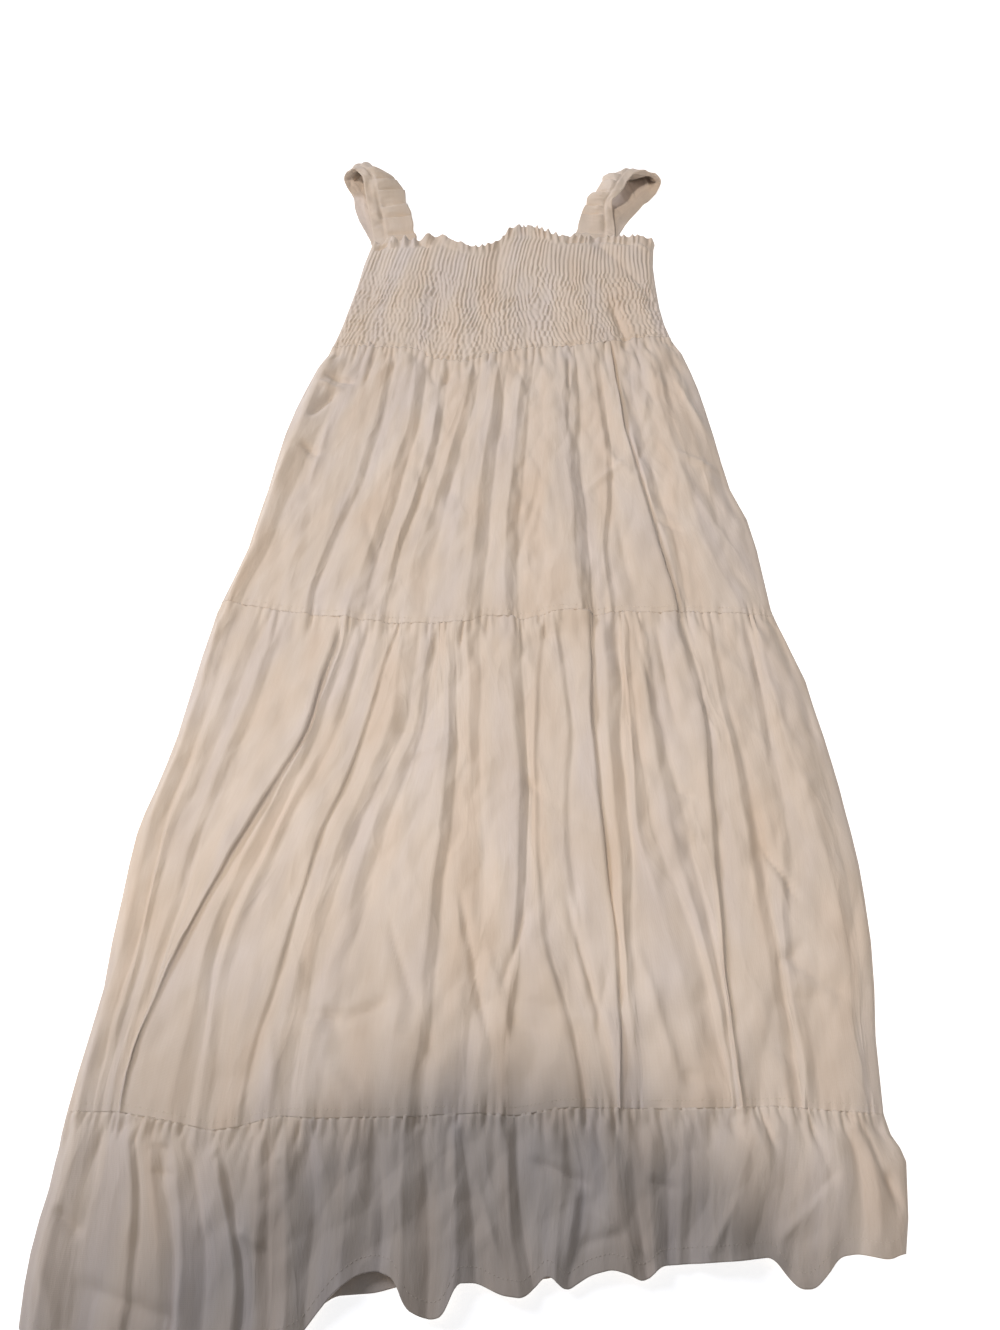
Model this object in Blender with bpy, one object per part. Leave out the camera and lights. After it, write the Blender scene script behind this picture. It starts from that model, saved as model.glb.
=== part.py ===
"""Smocked maxi dress of cream cotton, laid flat on its back: a ribbed bodice with two ruffled straps, two
gathered tiers and a hem flounce. X is to the right of the picture, Y points from hem to neck and Z is up."""

from collections import namedtuple

import bmesh
import bpy
import numpy as np

MM = 0.001

# Main sizes, in millimetres.
CLOTH = 1.4  # wall of the cotton
SEAM = 0.3  # clear space at each seam
FLOOR = CLOTH + SEAM  # underside of the front layer, over the back layer
COLUMNS = 96  # strips across each front panel
RIBS = COLUMNS // 2  # smocked ribs across the bodice
RIB_RISE = 1.2  # how far a rib stands out
RIB_DIP = 0.45  # share of the rib left at a shirring row
HEADING = 16.0  # loose frill above the first shirring row
FRILL_WAVES = 12  # flutes of that frill
FRILL_RISE = 2.2
UPPER_GATHERS = COLUMNS // 3
LOWER_GATHERS = COLUMNS // 2
GATHER_RISE = 2.4
BACK_COLUMNS = 12  # strips across each back panel
STRAP_WALL = 1.5
STRAP_FLUTES = 6  # waves of each strap's ruffle
FLUTE_RISE = 2.6

Point = namedtuple("Point", "x y")
Level = namedtuple("Level", "y left right")
# A pleat starts at its left valley, whose x is given at its panel's five heights, and rises to its crest.
Pleat = namedtuple("Pleat", "x1 x2 x3 x4 x5 rise_top rise_mid rise_end crest")
# A crease runs from one point to another: a ridge if its rise is positive, a trough if negative.
Crease = namedtuple("Crease", "x1 y1 x2 y2 rise spread")
# A strap section: its middle, the heading of its width from armhole to neck, and how far the ruffle is open.
Section = namedtuple("Section", "x y z heading width ruffle")
# A front panel hangs from the one above. Its points lie along the pleats' valleys past settle from a seam.
Panel = namedtuple("Panel", "top bottom pleats heights creases loft round_left round_right settle above")

# Outline of the whole dress as it lies, from neck to hem.
SIDES = [
    Level(1104, -164, 203), Level(1092, -169, 200), Level(1060, -176, 197), Level(1020, -182, 198),
    Level(985, -189, 200), Level(955, -195, 204), Level(930, -201, 210), Level(905, -209, 222),
    Level(880, -221, 229), Level(850, -231, 236), Level(820, -240, 241), Level(780, -249, 247),
    Level(740, -255, 252), Level(700, -260, 258), Level(660, -267, 272), Level(620, -273, 278),
    Level(580, -284, 281), Level(540, -296, 284), Level(520, -299, 290), Level(490, -304, 299),
    Level(460, -308, 308), Level(430, -312, 312), Level(400, -316, 317), Level(370, -322, 321),
    Level(345, -328, 324), Level(320, -335, 326), Level(300, -339, 328), Level(270, -341, 330),
    Level(240, -342, 330), Level(200, -344, 329), Level(160, -344, 325), Level(120, -349, 319),
    Level(90, -353, 317), Level(60, -356, 315), Level(45, -357, 318), Level(35, -357, 324),
    Level(25, -358, 327), Level(5, -359, 324), Level(-15, -362, 321), Level(-38, -364, 315),
    Level(-60, -364, 313), Level(-90, -362, 312),
]

NECK = [
    Point(-166, 1100), Point(-106, 1100), Point(-92, 1105), Point(-76, 1107), Point(-60, 1097), Point(-39, 1087),
    Point(-20, 1089), Point(0, 1102), Point(10, 1118), Point(22, 1125), Point(45, 1125), Point(62, 1115),
    Point(76, 1107), Point(180, 1107), Point(204, 1102),
]
WAIST = [
    Point(-206, 914), Point(-150, 912), Point(-100, 909), Point(-84, 893), Point(-41, 887), Point(-16, 899),
    Point(34, 910), Point(83, 912), Point(133, 921), Point(165, 926), Point(212, 930),
]
UPPER_SEAM = [
    Point(-295, 551), Point(-280, 548), Point(-246, 541), Point(-220, 535), Point(-166, 529), Point(-109, 523),
    Point(-56, 522), Point(-32, 522), Point(-18, 533), Point(23, 528), Point(66, 535), Point(98, 532),
    Point(126, 537), Point(162, 533), Point(195, 537), Point(254, 533), Point(286, 533),
]
LOWER_SEAM = [
    Point(-357, 61), Point(-313, 61), Point(-282, 56), Point(-249, 50), Point(-233, 47), Point(-217, 49),
    Point(-180, 58), Point(-154, 56), Point(-85, 57), Point(-17, 60), Point(13, 58), Point(52, 64),
    Point(150, 63), Point(225, 65), Point(267, 62), Point(316, 59),
]
HEM = [
    Point(-364, -86), Point(-340, -98), Point(-300, -102), Point(-250, -101), Point(-200, -101), Point(-165, -98),
    Point(-150, -93), Point(-140, -80), Point(-126, -64), Point(-110, -53), Point(-95, -50), Point(-80, -55),
    Point(-72, -74), Point(-60, -80), Point(-50, -82), Point(-42, -78), Point(-34, -58), Point(-18, -58),
    Point(1, -66), Point(18, -68), Point(28, -60), Point(35, -52), Point(42, -56), Point(50, -64),
    Point(69, -53), Point(86, -49), Point(100, -53), Point(110, -58), Point(123, -47), Point(156, -45),
    Point(188, -43), Point(210, -41), Point(219, -53), Point(226, -62), Point(239, -62), Point(249, -53),
    Point(261, -41), Point(276, -39), Point(299, -43), Point(312, -39),
]
BACK_HEM = [
    Point(-364, -80), Point(-300, -94), Point(-200, -93), Point(-155, -86), Point(-126, -67), Point(-95, -65),
    Point(-74, -60), Point(-40, -56), Point(35, -56), Point(80, -46), Point(210, -39), Point(312, -36),
]

BODICE_CREASES = [
    Crease(118, 1112, 152, 1062, -3.4, 17), Crease(152, 1062, 180, 1015, -3.6, 18),
    Crease(180, 1015, 198, 962, -2.2, 18), Crease(-116, 1090, -118, 925, 1.6, 24),
    Crease(-150, 1095, -168, 960, -1.4, 15), Crease(2, 1112, -8, 1005, -1.8, 20),
    Crease(60, 1085, 92, 960, 1.2, 34), Crease(-45, 1060, -60, 930, 1.0, 30),
]

UPPER_HEIGHTS = (900, 800, 700, 600, 540)
UPPER_PLEATS = [
    Pleat(-198, -222, -242, -263, -280, 4.0, 5.0, 2.4, 0.45),
    Pleat(-150, -178, -216, -238, -252, 4.0, 6.0, 2.0, 0.60),
    Pleat(-118, -143, -167, -192, -203, 3.4, 5.6, 3.0, 0.45),
    Pleat(-80, -95, -115, -141, -154, 3.0, 4.6, 2.6, 0.40),
    Pleat(-55, -66, -83, -113, -120, 3.4, 6.4, 2.2, 0.45),
    Pleat(-20, -36, -60, -78, -80, 3.4, 5.6, 2.8, 0.60),
    Pleat(9, -5, -14, -22, -30, 3.2, 4.6, 2.6, 0.40),
    Pleat(38, 32, 18, 14, 21, 3.6, 6.6, 3.2, 0.50),
    Pleat(93, 92, 91, 95, 98, 3.0, 5.0, 2.4, 0.45),
    Pleat(114, 122, 122, 115, 122, 3.0, 6.0, 3.0, 0.60),
    Pleat(136, 144, 160, 177, 186, 3.6, 6.2, 2.6, 0.50),
    Pleat(176, 186, 207, 226, 250, 3.0, 3.4, 1.4, 0.55),
]
UPPER_CREASES = [
    Crease(-207, 864, -172, 853, -2.6, 7), Crease(-160, 850, -150, 905, -2.0, 7),
    Crease(78, 890, 74, 840, -2.0, 7), Crease(62, 840, 72, 700, -1.4, 9),
    Crease(205, 862, 238, 775, 1.8, 9), Crease(200, 742, 245, 720, 1.8, 8),
    Crease(94, 690, 140, 728, -1.4, 6), Crease(-146, 660, -130, 590, -1.4, 9),
    Crease(20, 610, 45, 700, -1.6, 9), Crease(168, 655, 200, 640, -1.6, 6),
]

MIDDLE_HEIGHTS = (520, 400, 300, 200, 90)
MIDDLE_PLEATS = [
    Pleat(-268, -302, -322, -327, -336, 2.6, 3.6, 2.4, 0.50),
    Pleat(-238, -276, -304, -313, -325, 2.6, 4.2, 2.4, 0.50),
    Pleat(-206, -246, -281, -300, -317, 3.0, 4.4, 2.0, 0.60),
    Pleat(-162, -188, -236, -281, -300, 2.6, 4.6, 3.0, 0.55),
    Pleat(-136, -174, -204, -251, -266, 3.0, 6.4, 3.2, 0.45),
    Pleat(-105, -131, -165, -188, -211, 2.6, 5.0, 2.8, 0.40),
    Pleat(-82, -98, -137, -164, -178, 3.2, 6.2, 3.0, 0.45),
    Pleat(-48, -41, -46, -54, -64, 3.6, 6.6, 3.2, 0.50),
    Pleat(22, 24, 24, 38, 64, 3.8, 6.0, 3.0, 0.55),
    Pleat(96, 92, 96, 102, 103, 2.6, 4.0, 2.2, 0.45),
    Pleat(122, 117, 130, 158, 176, 3.4, 6.2, 2.4, 0.55),
    Pleat(192, 202, 203, 199, 188, 3.0, 5.4, 3.0, 0.45),
    Pleat(222, 229, 228, 234, 244, 3.0, 5.0, 2.6, 0.55),
    Pleat(250, 281, 298, 302, 300, 2.4, 2.8, 1.6, 0.50),
]
MIDDLE_CREASES = [
    Crease(25, 250, 0, 162, -2.0, 7), Crease(-98, 210, -70, 150, -1.8, 7), Crease(60, 235, 84, 150, -2.2, 7),
    Crease(-36, 240, -8, 110, -2.4, 8), Crease(140, 500, 158, 420, -2.2, 7), Crease(162, 520, 172, 410, -2.2, 6),
    Crease(130, 210, 150, 90, -1.6, 10), Crease(-188, 135, -118, 132, -1.8, 8), Crease(-150, 95, -112, 78, -1.8, 7),
    Crease(-20, 145, 30, 122, -1.8, 8), Crease(86, 150, 98, 78, 2.0, 8), Crease(240, 290, 262, 238, -2.0, 6),
    Crease(250, 186, 290, 158, -1.6, 6), Crease(150, 88, 180, 84, -2.0, 8),
]

FLOUNCE_HEIGHTS = (60, 30, 0, -30, -62)
FLOUNCE_PLEATS = [
    Pleat(-326, -325, -326, -330, -334, 2.4, 4.0, 4.4, 0.50),
    Pleat(-300, -292, -285, -279, -274, 3.0, 4.6, 4.8, 0.35),
    Pleat(-272, -260, -250, -240, -234, 2.6, 4.6, 5.6, 0.50),
    Pleat(-238, -228, -216, -207, -197, 2.6, 5.0, 6.0, 0.40),
    Pleat(-190, -186, -184, -180, -174, 2.6, 4.4, 4.6, 0.45),
    Pleat(-150, -146, -144, -144, -148, 3.0, 5.0, 5.4, 0.50),
    Pleat(-92, -84, -80, -78, -76, 2.6, 4.8, 7.0, 0.55),
    Pleat(-38, -35, -34, -35, -36, 3.0, 5.2, 6.6, 0.50),
    Pleat(14, 13, 14, 19, 26, 2.8, 4.6, 5.4, 0.50),
    Pleat(68, 64, 60, 54, 50, 2.6, 4.8, 5.6, 0.50),
    Pleat(108, 106, 106, 110, 114, 2.8, 4.6, 5.0, 0.50),
    Pleat(150, 146, 142, 138, 134, 3.0, 4.8, 5.0, 0.55),
    Pleat(214, 204, 195, 190, 196, 2.8, 5.2, 7.4, 0.60),
    Pleat(266, 262, 254, 250, 252, 2.6, 4.8, 5.6, 0.45),
    Pleat(296, 298, 296, 292, 290, 1.6, 2.6, 3.0, 0.50),
]
FLOUNCE_CREASES = [
    Crease(40, 20, 66, 8, -2.0, 8), Crease(60, 5, 62, -34, 1.8, 9), Crease(308, 16, 320, -12, -2.0, 7),
    Crease(-345, -10, -326, -25, -2.0, 7), Crease(214, -32, 250, 2, 1.6, 8),
]

BODICE = Panel(NECK, WAIST, [], (), BODICE_CREASES, 6.5, 34, 26, 1, None)
UPPER_TIER = Panel(WAIST, UPPER_SEAM, UPPER_PLEATS, UPPER_HEIGHTS, UPPER_CREASES, 5.5, 26, 30, 130, BODICE)
MIDDLE_TIER = Panel(
    UPPER_SEAM, LOWER_SEAM, MIDDLE_PLEATS, MIDDLE_HEIGHTS, MIDDLE_CREASES, 5.0, 26, 28, 150, UPPER_TIER
)
FLOUNCE = Panel(
    LOWER_SEAM, HEM, FLOUNCE_PLEATS, FLOUNCE_HEIGHTS, FLOUNCE_CREASES, 4.0, 26, 26, 50, MIDDLE_TIER
)

# Distances below the top seam at which a panel has a row of points, then shares of what is left.
UPPER_ROWS = ((0, 9, 26, 60), (0.24, 0.50, 0.76, 1))
MIDDLE_ROWS = ((0, 9, 26, 60), (0.18, 0.38, 0.58, 0.80, 1))
FLOUNCE_ROWS = ((0, 9, 26), (0.32, 0.66, 1))
SHIRRED_ROWS = 9  # rows of points below the heading

LEFT_STRAP = [
    Section(-147, 1100.6, 2.5, 0, 36, 16), Section(-147, 1118, 4.5, 2, 36, 15), Section(-149, 1145, 10, 6, 36, 14),
    Section(-155, 1172, 18, 14, 36, 14), Section(-164, 1195, 26, 34, 36, 12), Section(-178, 1212, 31, 62, 36, 8),
    Section(-192, 1219, 30, 82, 36, 4), Section(-204, 1221, 23, 90, 36, 2), Section(-207, 1221, 14, 90, 36, 1),
    Section(-202, 1220, 5, 84, 36, 1), Section(-192, 1212, 1.3, 56, 36, 1), Section(-183, 1190, 0.75, 24, 34, 1),
    Section(-170, 1150, 0.75, 16, 34, 1), Section(-156, 1118, 0.75, 6, 34, 1), Section(-150, 1098.4, 0.75, 0, 34, 1),
]
RIGHT_STRAP = [
    Section(116, 1107.6, 2.5, 180, 40, 16), Section(118, 1126, 5, 176, 38, 15), Section(124, 1150, 11, 168, 36, 14),
    Section(134, 1176, 19, 158, 36, 14), Section(148, 1201, 27, 140, 36, 12), Section(166, 1219, 32, 116, 36, 8),
    Section(184, 1227, 31, 98, 36, 4), Section(200, 1229, 24, 90, 36, 2), Section(205, 1229, 14, 90, 36, 1),
    Section(199, 1227, 5, 96, 36, 1), Section(190, 1216, 1.3, 122, 36, 1), Section(182, 1192, 0.75, 152, 34, 1),
    Section(171, 1156, 0.75, 164, 34, 1), Section(162, 1126, 0.75, 174, 34, 1), Section(161, 1105.4, 0.75, 180, 34, 1),
]
STRAP_STEPS = 26  # rows of points along a strap

# Colours of the cotton: the photo's cream, a little greyer toward the hem.
CREAM = (0.66, 0.58, 0.49)
SAND = (0.60, 0.54, 0.46)
STONE = (0.55, 0.50, 0.44)


def curve(points, x):
    """Height of a seam or hem at x."""
    return np.interp(x, [p.x for p in points], [p.y for p in points])


def side(y, right):
    """The dress's left or right edge at height y."""
    levels = SIDES[::-1]
    return np.interp(y, [level.y for level in levels], [level.right if right else level.left for level in levels])


def smooth(value, low, high):
    """0 at low and below, 1 at high and above, with soft ends."""
    share = np.clip((value - low) / (high - low), 0, 1)
    return share * share * (3 - 2 * share)


def valleys(panel, y):
    """x of each side and pleat valley at height y, from left to right."""
    lines = [side(y, False)]
    for pleat in panel.pleats:
        lines.append(np.interp(y, panel.heights[::-1], pleat[4::-1]))
    lines.append(side(y, True))
    return np.array(lines)


def even(y, columns):
    """x of each column where the columns lie evenly from side to side, at its own height y."""
    return side(y, False) + (side(y, True) - side(y, False)) * columns / COLUMNS


def stations(panel, y, columns):
    """x of each column, kept on the pleats' valleys, which are shared out by their mean place in the panel."""
    if not panel.pleats:
        return even(y, columns)
    lines = valleys(panel, np.array(panel.heights, float))
    marks = ((lines - lines[0]) / (lines[-1] - lines[0])).mean(axis=1) * COLUMNS
    marks = np.round(marks).astype(int)
    for k in range(1, len(marks)):
        marks[k] = max(marks[k], marks[k - 1] + 3)
    lines = valleys(panel, y)
    k = np.clip(np.searchsorted(marks, columns, "right") - 1, 0, len(marks) - 2)
    share = (columns - marks[k]) / (marks[k + 1] - marks[k])
    here = np.arange(len(columns))
    return lines[k, here] + (lines[k + 1, here] - lines[k, here]) * share


def puff(panel, x, y):
    """Air between the two layers, rounded down to nothing at each side of the dress."""
    left = np.clip((x - side(y, False)) / panel.round_left, 0, 1)
    right = np.clip((side(y, True) - x) / panel.round_right, 0, 1)
    return panel.loft * np.sqrt(np.clip(1 - (1 - left) ** 2, 0, 1)) * np.sqrt(np.clip(1 - (1 - right) ** 2, 0, 1))


def pleat_rise(panel, x, y):
    """How far the pleats stand over the puffed cloth at a point."""
    if not panel.pleats:
        return np.zeros_like(x)
    lines = valleys(panel, y)
    k = np.clip((x >= lines).sum(axis=0) - 1, 0, len(lines) - 2)
    here = np.arange(len(x))
    share = np.clip((x - lines[k, here]) / (lines[k + 1, here] - lines[k, here]), 0, 1)
    edge = Pleat(0, 0, 0, 0, 0, 1.0, 1.4, 0.8, 0.6)
    rows = [edge] + list(panel.pleats)
    crest = np.array([row.crest for row in rows])[k]
    bent = np.where(share < crest, 0.5 * share / crest, 0.5 + 0.5 * (share - crest) / (1 - crest))
    places = (panel.heights[-1], panel.heights[2], panel.heights[0])
    rises = np.array([np.interp(y, places, (row.rise_end, row.rise_mid, row.rise_top)) for row in rows])
    inside = smooth(np.minimum(x - lines[0], lines[-1] - x), 0, 20)
    return rises[k, here] * (1 - np.abs(2 * bent - 1) ** 2.2) * inside


def crease_rise(panel, x, y):
    """Sum of the panel's single creases at a point."""
    total = np.zeros_like(x)
    for crease in panel.creases:
        along = np.array([crease.x2 - crease.x1, crease.y2 - crease.y1])
        length = np.hypot(*along)
        along = along / length
        t = (x - crease.x1) * along[0] + (y - crease.y1) * along[1]
        off = (y - crease.y1) * along[0] - (x - crease.x1) * along[1]
        fade = smooth(t, -0.15 * length, 0.25 * length) * smooth(length - t, -0.15 * length, 0.25 * length)
        total += crease.rise * fade * np.exp(-((off / crease.spread) ** 2) * 1.6)
    inside = smooth(np.minimum(x - side(y, False), side(y, True) - x), 0, 22)
    return total * inside


def relief(panel, x, y):
    """Height of the front cloth over its floor. Below a seam it starts as the panel above ends."""
    own = puff(panel, x, y) + pleat_rise(panel, x, y) + crease_rise(panel, x, y)
    if panel.above is None:
        return np.maximum(own, 0)
    seam = curve(panel.top, x)
    start = relief(panel.above, x, seam)
    share = smooth(seam - y, 0, 34)
    return np.maximum(start + (own - start) * share, 0)


def wall(name, upper, lower, colour):
    """A closed wall from the points of its two faces, given as rows from neck to hem."""
    mesh = bpy.data.meshes.new(name)
    body = bmesh.new()
    top = [[body.verts.new(point * MM) for point in row] for row in upper]
    base = [[body.verts.new(point * MM) for point in row] for row in lower]
    for face, grid in ((1, top), (-1, base)):
        for j in range(len(grid) - 1):
            for i in range(len(grid[0]) - 1):
                corners = [grid[j][i], grid[j + 1][i], grid[j + 1][i + 1], grid[j][i + 1]]
                body.faces.new(corners[::face])
    for i in range(len(top[0]) - 1):
        body.faces.new([base[0][i], top[0][i], top[0][i + 1], base[0][i + 1]])
        body.faces.new([base[-1][i + 1], top[-1][i + 1], top[-1][i], base[-1][i]])
    for j in range(len(top) - 1):
        body.faces.new([base[j + 1][0], top[j + 1][0], top[j][0], base[j][0]])
        body.faces.new([base[j][-1], top[j][-1], top[j + 1][-1], base[j + 1][-1]])
    bmesh.ops.recalc_face_normals(body, faces=body.faces)
    for face in body.faces:
        face.smooth = True
    body.to_mesh(mesh)
    body.free()
    mesh.set_sharp_from_angle(angle=np.radians(50))
    item = bpy.data.objects.new(name, mesh)
    bpy.context.scene.collection.objects.link(item)
    item.data.materials.append(cotton(name, colour))
    return item


def cotton(name, colour):
    material = bpy.data.materials.new("cotton_" + name)
    material.use_nodes = True
    shader = material.node_tree.nodes["Principled BSDF"]
    shader.inputs["Base Color"].default_value = (*colour, 1)
    shader.inputs["Roughness"].default_value = 0.88
    shader.inputs["Metallic"].default_value = 0
    return material


def row_heights(panel, x, rows):
    """Heights of each row of points at each column's x: near rows by distance, the others by share."""
    top, bottom = curve(panel.top, x), curve(panel.bottom, x)
    near, shares = rows
    found = [top - distance for distance in near]
    for share in shares:
        found.append(found[len(near) - 1] * (1 - share) + bottom * share)
    return found


def points_at(panel, rows, j, columns, hangs):
    """x and y of the panel's points in row j. The columns lie evenly at each seam, so that both panels share them."""
    x = even(900.0, columns)
    for _ in range(12):
        y = row_heights(panel, x, rows)[j]
        own = stations(panel, y, columns)
        loose = smooth(curve(panel.top, x) - y, 0, panel.settle)
        if hangs:
            loose = loose * smooth(y - curve(panel.bottom, x), 0, panel.settle)
        x = even(y, columns) + (own - even(y, columns)) * loose
    return x, row_heights(panel, x, rows)[j]


def grid_of(panel, rows, columns, hangs):
    """x and y of each row of points, held back from the seams. hangs says that a panel hangs from this one."""
    grid = [points_at(panel, rows, j, columns, hangs) for j in range(len(rows[0]) + len(rows[1]))]
    if panel.above is not None:
        grid[0] = (grid[0][0], grid[0][1] - SEAM / 2)
    if hangs:
        grid[-1] = (grid[-1][0], grid[-1][1] + SEAM / 2)
    return grid


def steepness(rise, x):
    """How much taller a wall of even thickness measures where it slopes."""
    slope = np.gradient(rise, x)
    return np.sqrt(1 + slope * slope) - 1


def gathers(count, x_index, depth, rise):
    """Fine gathers below a seam: pinched at it, full a little lower, and soon spent."""
    wave = 0.5 - 0.5 * np.cos(2 * np.pi * count * x_index / COLUMNS)
    uneven = 0.75 + 0.35 * np.sin(1.7 * x_index) * np.sin(0.37 * x_index + 1)
    return rise * wave * uneven * smooth(depth, 0, 8) * np.exp(-np.clip(depth - 9, 0, None) / 34)


def tier(name, panel, rows, count, hangs, colour):
    """A gathered front panel, its folds raised in both faces of the wall."""
    upper, lower = [], []
    index = np.arange(COLUMNS + 1)
    for x, y in grid_of(panel, rows, index, hangs):
        depth = curve(panel.top, x) - y
        rise = relief(panel, x, y)
        inside = smooth(np.minimum(index, COLUMNS - index), 0, 5)
        rise = rise + gathers(count, index, depth, GATHER_RISE) * inside
        under = np.maximum(rise - CLOTH * steepness(rise, x), 0)
        upper.append(np.stack([x, y, FLOOR + CLOTH + rise], axis=-1))
        lower.append(np.stack([x, y, FLOOR + under], axis=-1))
    return wall(name, upper, lower, colour)


def bodice(name):
    """The smocked front: ribs raised in the outer face, dipped at each shirring row, over a plain inside."""
    upper, lower = [], []
    index = np.arange(COLUMNS + 1)
    share = np.linspace(0, 1, SHIRRED_ROWS + 1)[1:]
    rows = ((0, HEADING * 0.55, HEADING), tuple(share))
    for j, (x, y) in enumerate(grid_of(BODICE, rows, index, True)):
        rise = relief(BODICE, x, y)
        inside = smooth(np.minimum(index, COLUMNS - index), 0, 4)
        if j < 2:
            flute = 0.5 - 0.5 * np.cos(2 * np.pi * FRILL_WAVES * index / COLUMNS)
            raised = FRILL_RISE * flute * inside * (1.0 if j == 0 else 0.6)
            y = y - (2.0 * (1 - flute) if j == 0 else 0) * inside
        else:
            dip = RIB_DIP if j % 2 == 0 else 1.0
            last = j == len(rows[0]) + len(rows[1]) - 1
            rib = 0.5 - 0.5 * np.cos(2 * np.pi * RIBS * index / COLUMNS)
            raised = RIB_RISE * rib * inside * (0 if last else dip)
        upper.append(np.stack([x, y, FLOOR + CLOTH + rise + raised], axis=-1))
        lower.append(np.stack([x, y, FLOOR + rise], axis=-1))
    return wall(name, upper, lower, CREAM)


def back(name, panel, rows, hangs, colour):
    """A plain panel of the layer that lies on the surface, its underside flat."""
    upper, lower = [], []
    columns = np.arange(0, COLUMNS + 1, COLUMNS // BACK_COLUMNS)
    shares = tuple(np.linspace(0, 1, rows + 1)[1:])
    for x, y in grid_of(panel, ((0,), shares), columns, hangs):
        upper.append(np.stack([x, y, 0 * x + CLOTH], axis=-1))
        lower.append(np.stack([x, y, 0 * x], axis=-1))
    return wall(name, upper, lower, colour)


def spline(rows, steps):
    """Even steps along smooth curves through each column of the rows."""
    values = np.array(rows, float)
    ends = np.vstack([2 * values[0] - values[1], values, 2 * values[-1] - values[-2]])
    found = []
    for t in np.linspace(0, len(values) - 1, steps + 1):
        k = min(int(t), len(values) - 2)
        s = t - k
        a, b, c, d = ends[k:k + 4]
        found.append(0.5 * (2 * b + (c - a) * s + (2 * a - 5 * b + 4 * c - d) * s ** 2 + (3 * b - a - 3 * c + d) * s ** 3))
    return np.array(found)


def strap(name, sections):
    """A flat band that rises from the front neck, turns over at its far end and returns under itself to the back.
    A ruffle runs along the neck edge of its upper run."""
    rows = spline(sections, STRAP_STEPS)
    rows[:, 2] = np.maximum(rows[:, 2], STRAP_WALL / 2)
    middle = rows[:, :3]
    along = np.gradient(middle, axis=0)
    along /= np.linalg.norm(along, axis=1)[:, None]
    upper, lower = [], []
    for k, (point, ahead) in enumerate(zip(middle, along)):
        row = Section(*rows[k])
        turn = np.radians(row.heading)
        across = np.array([np.cos(turn), np.sin(turn), 0])
        out = np.cross(across, ahead)
        out /= np.linalg.norm(out)
        if sections[0].heading == 180:
            out = -out
        # The band is crowned and its ruffle fluted on the upper run alone, so that the lower one lies flat.
        crown = max(out[2], 0)
        flute = crown * FLUTE_RISE * np.sin(2 * np.pi * STRAP_FLUTES * k / (0.5 * STRAP_STEPS)) * row.ruffle / 16
        places = [(-row.width / 2, 0), (-row.width / 6, 0.4 * crown), (row.width / 6, 0.2 * crown)]
        places += [(row.width / 2, 0), (row.width / 2 + 0.5 * row.ruffle, 0.4 * flute)]
        places += [(row.width / 2 + row.ruffle, flute)]
        line = [point + across * place + out * lift for place, lift in places]
        upper.append([place + out * STRAP_WALL / 2 for place in line])
        lower.append([place - out * STRAP_WALL / 2 for place in line])
    return wall(name, np.array(upper), np.array(lower), CREAM)


def rest_on_origin():
    """Moves every point so that the dress rests on z = 0 with the middle of its box over the origin."""
    meshes = [item.data for item in bpy.data.objects]
    points = np.array([vertex.co for mesh in meshes for vertex in mesh.vertices])
    low, high = points.min(axis=0), points.max(axis=0)
    shift = np.array([(low[0] + high[0]) / 2, (low[1] + high[1]) / 2, low[2]])
    for mesh in meshes:
        for vertex in mesh.vertices:
            vertex.co = np.array(vertex.co) - shift
    print("moved by", (-shift).round(6), "box", (high - low).round(4))


def main():
    for item in list(bpy.data.objects):
        bpy.data.objects.remove(item)
    bodice("bodice_front")
    tier("upper_tier_front", UPPER_TIER, UPPER_ROWS, UPPER_GATHERS, True, CREAM)
    tier("middle_tier_front", MIDDLE_TIER, MIDDLE_ROWS, LOWER_GATHERS, True, SAND)
    tier("hem_flounce_front", FLOUNCE, FLOUNCE_ROWS, LOWER_GATHERS, False, STONE)
    lowered = [Point(point.x, point.y - 2) for point in NECK]
    back("bodice_back", BODICE._replace(top=lowered), 4, True, CREAM)
    back("upper_tier_back", UPPER_TIER, 7, True, CREAM)
    back("middle_tier_back", MIDDLE_TIER, 8, True, SAND)
    back("hem_flounce_back", FLOUNCE._replace(bottom=BACK_HEM), 3, False, STONE)
    strap("strap_left", LEFT_STRAP)
    strap("strap_right", RIGHT_STRAP)
    rest_on_origin()


main()
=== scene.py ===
"""Looks of a smocked cotton maxi dress that lies flat on its back: a ribbed bodice with two ruffled straps, two
gathered tiers and a hem flounce. Every panel is a thin sheet of cloth laid on the form of its solid."""

import math
from collections import namedtuple

import bpy
import numpy as np
from bpy.props import FloatProperty, IntProperty, PointerProperty, StringProperty
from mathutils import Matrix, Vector


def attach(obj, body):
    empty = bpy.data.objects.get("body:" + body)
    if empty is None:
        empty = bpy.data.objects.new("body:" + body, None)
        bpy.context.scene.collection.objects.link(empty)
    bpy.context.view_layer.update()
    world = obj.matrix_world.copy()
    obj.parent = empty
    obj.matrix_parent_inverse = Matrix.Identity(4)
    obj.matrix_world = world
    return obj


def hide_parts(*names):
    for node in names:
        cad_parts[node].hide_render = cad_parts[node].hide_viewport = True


bl_info = {
    "name": "Smocked maxi dress",
    "version": (1, 0, 0),
    "blender": (4, 5, 0),
    "location": "3D View > Sidebar > Dress",
    "description": "Lays smocked, gathered and stitched cotton over the dress's plain solids",
    "category": "Object",
}

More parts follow.
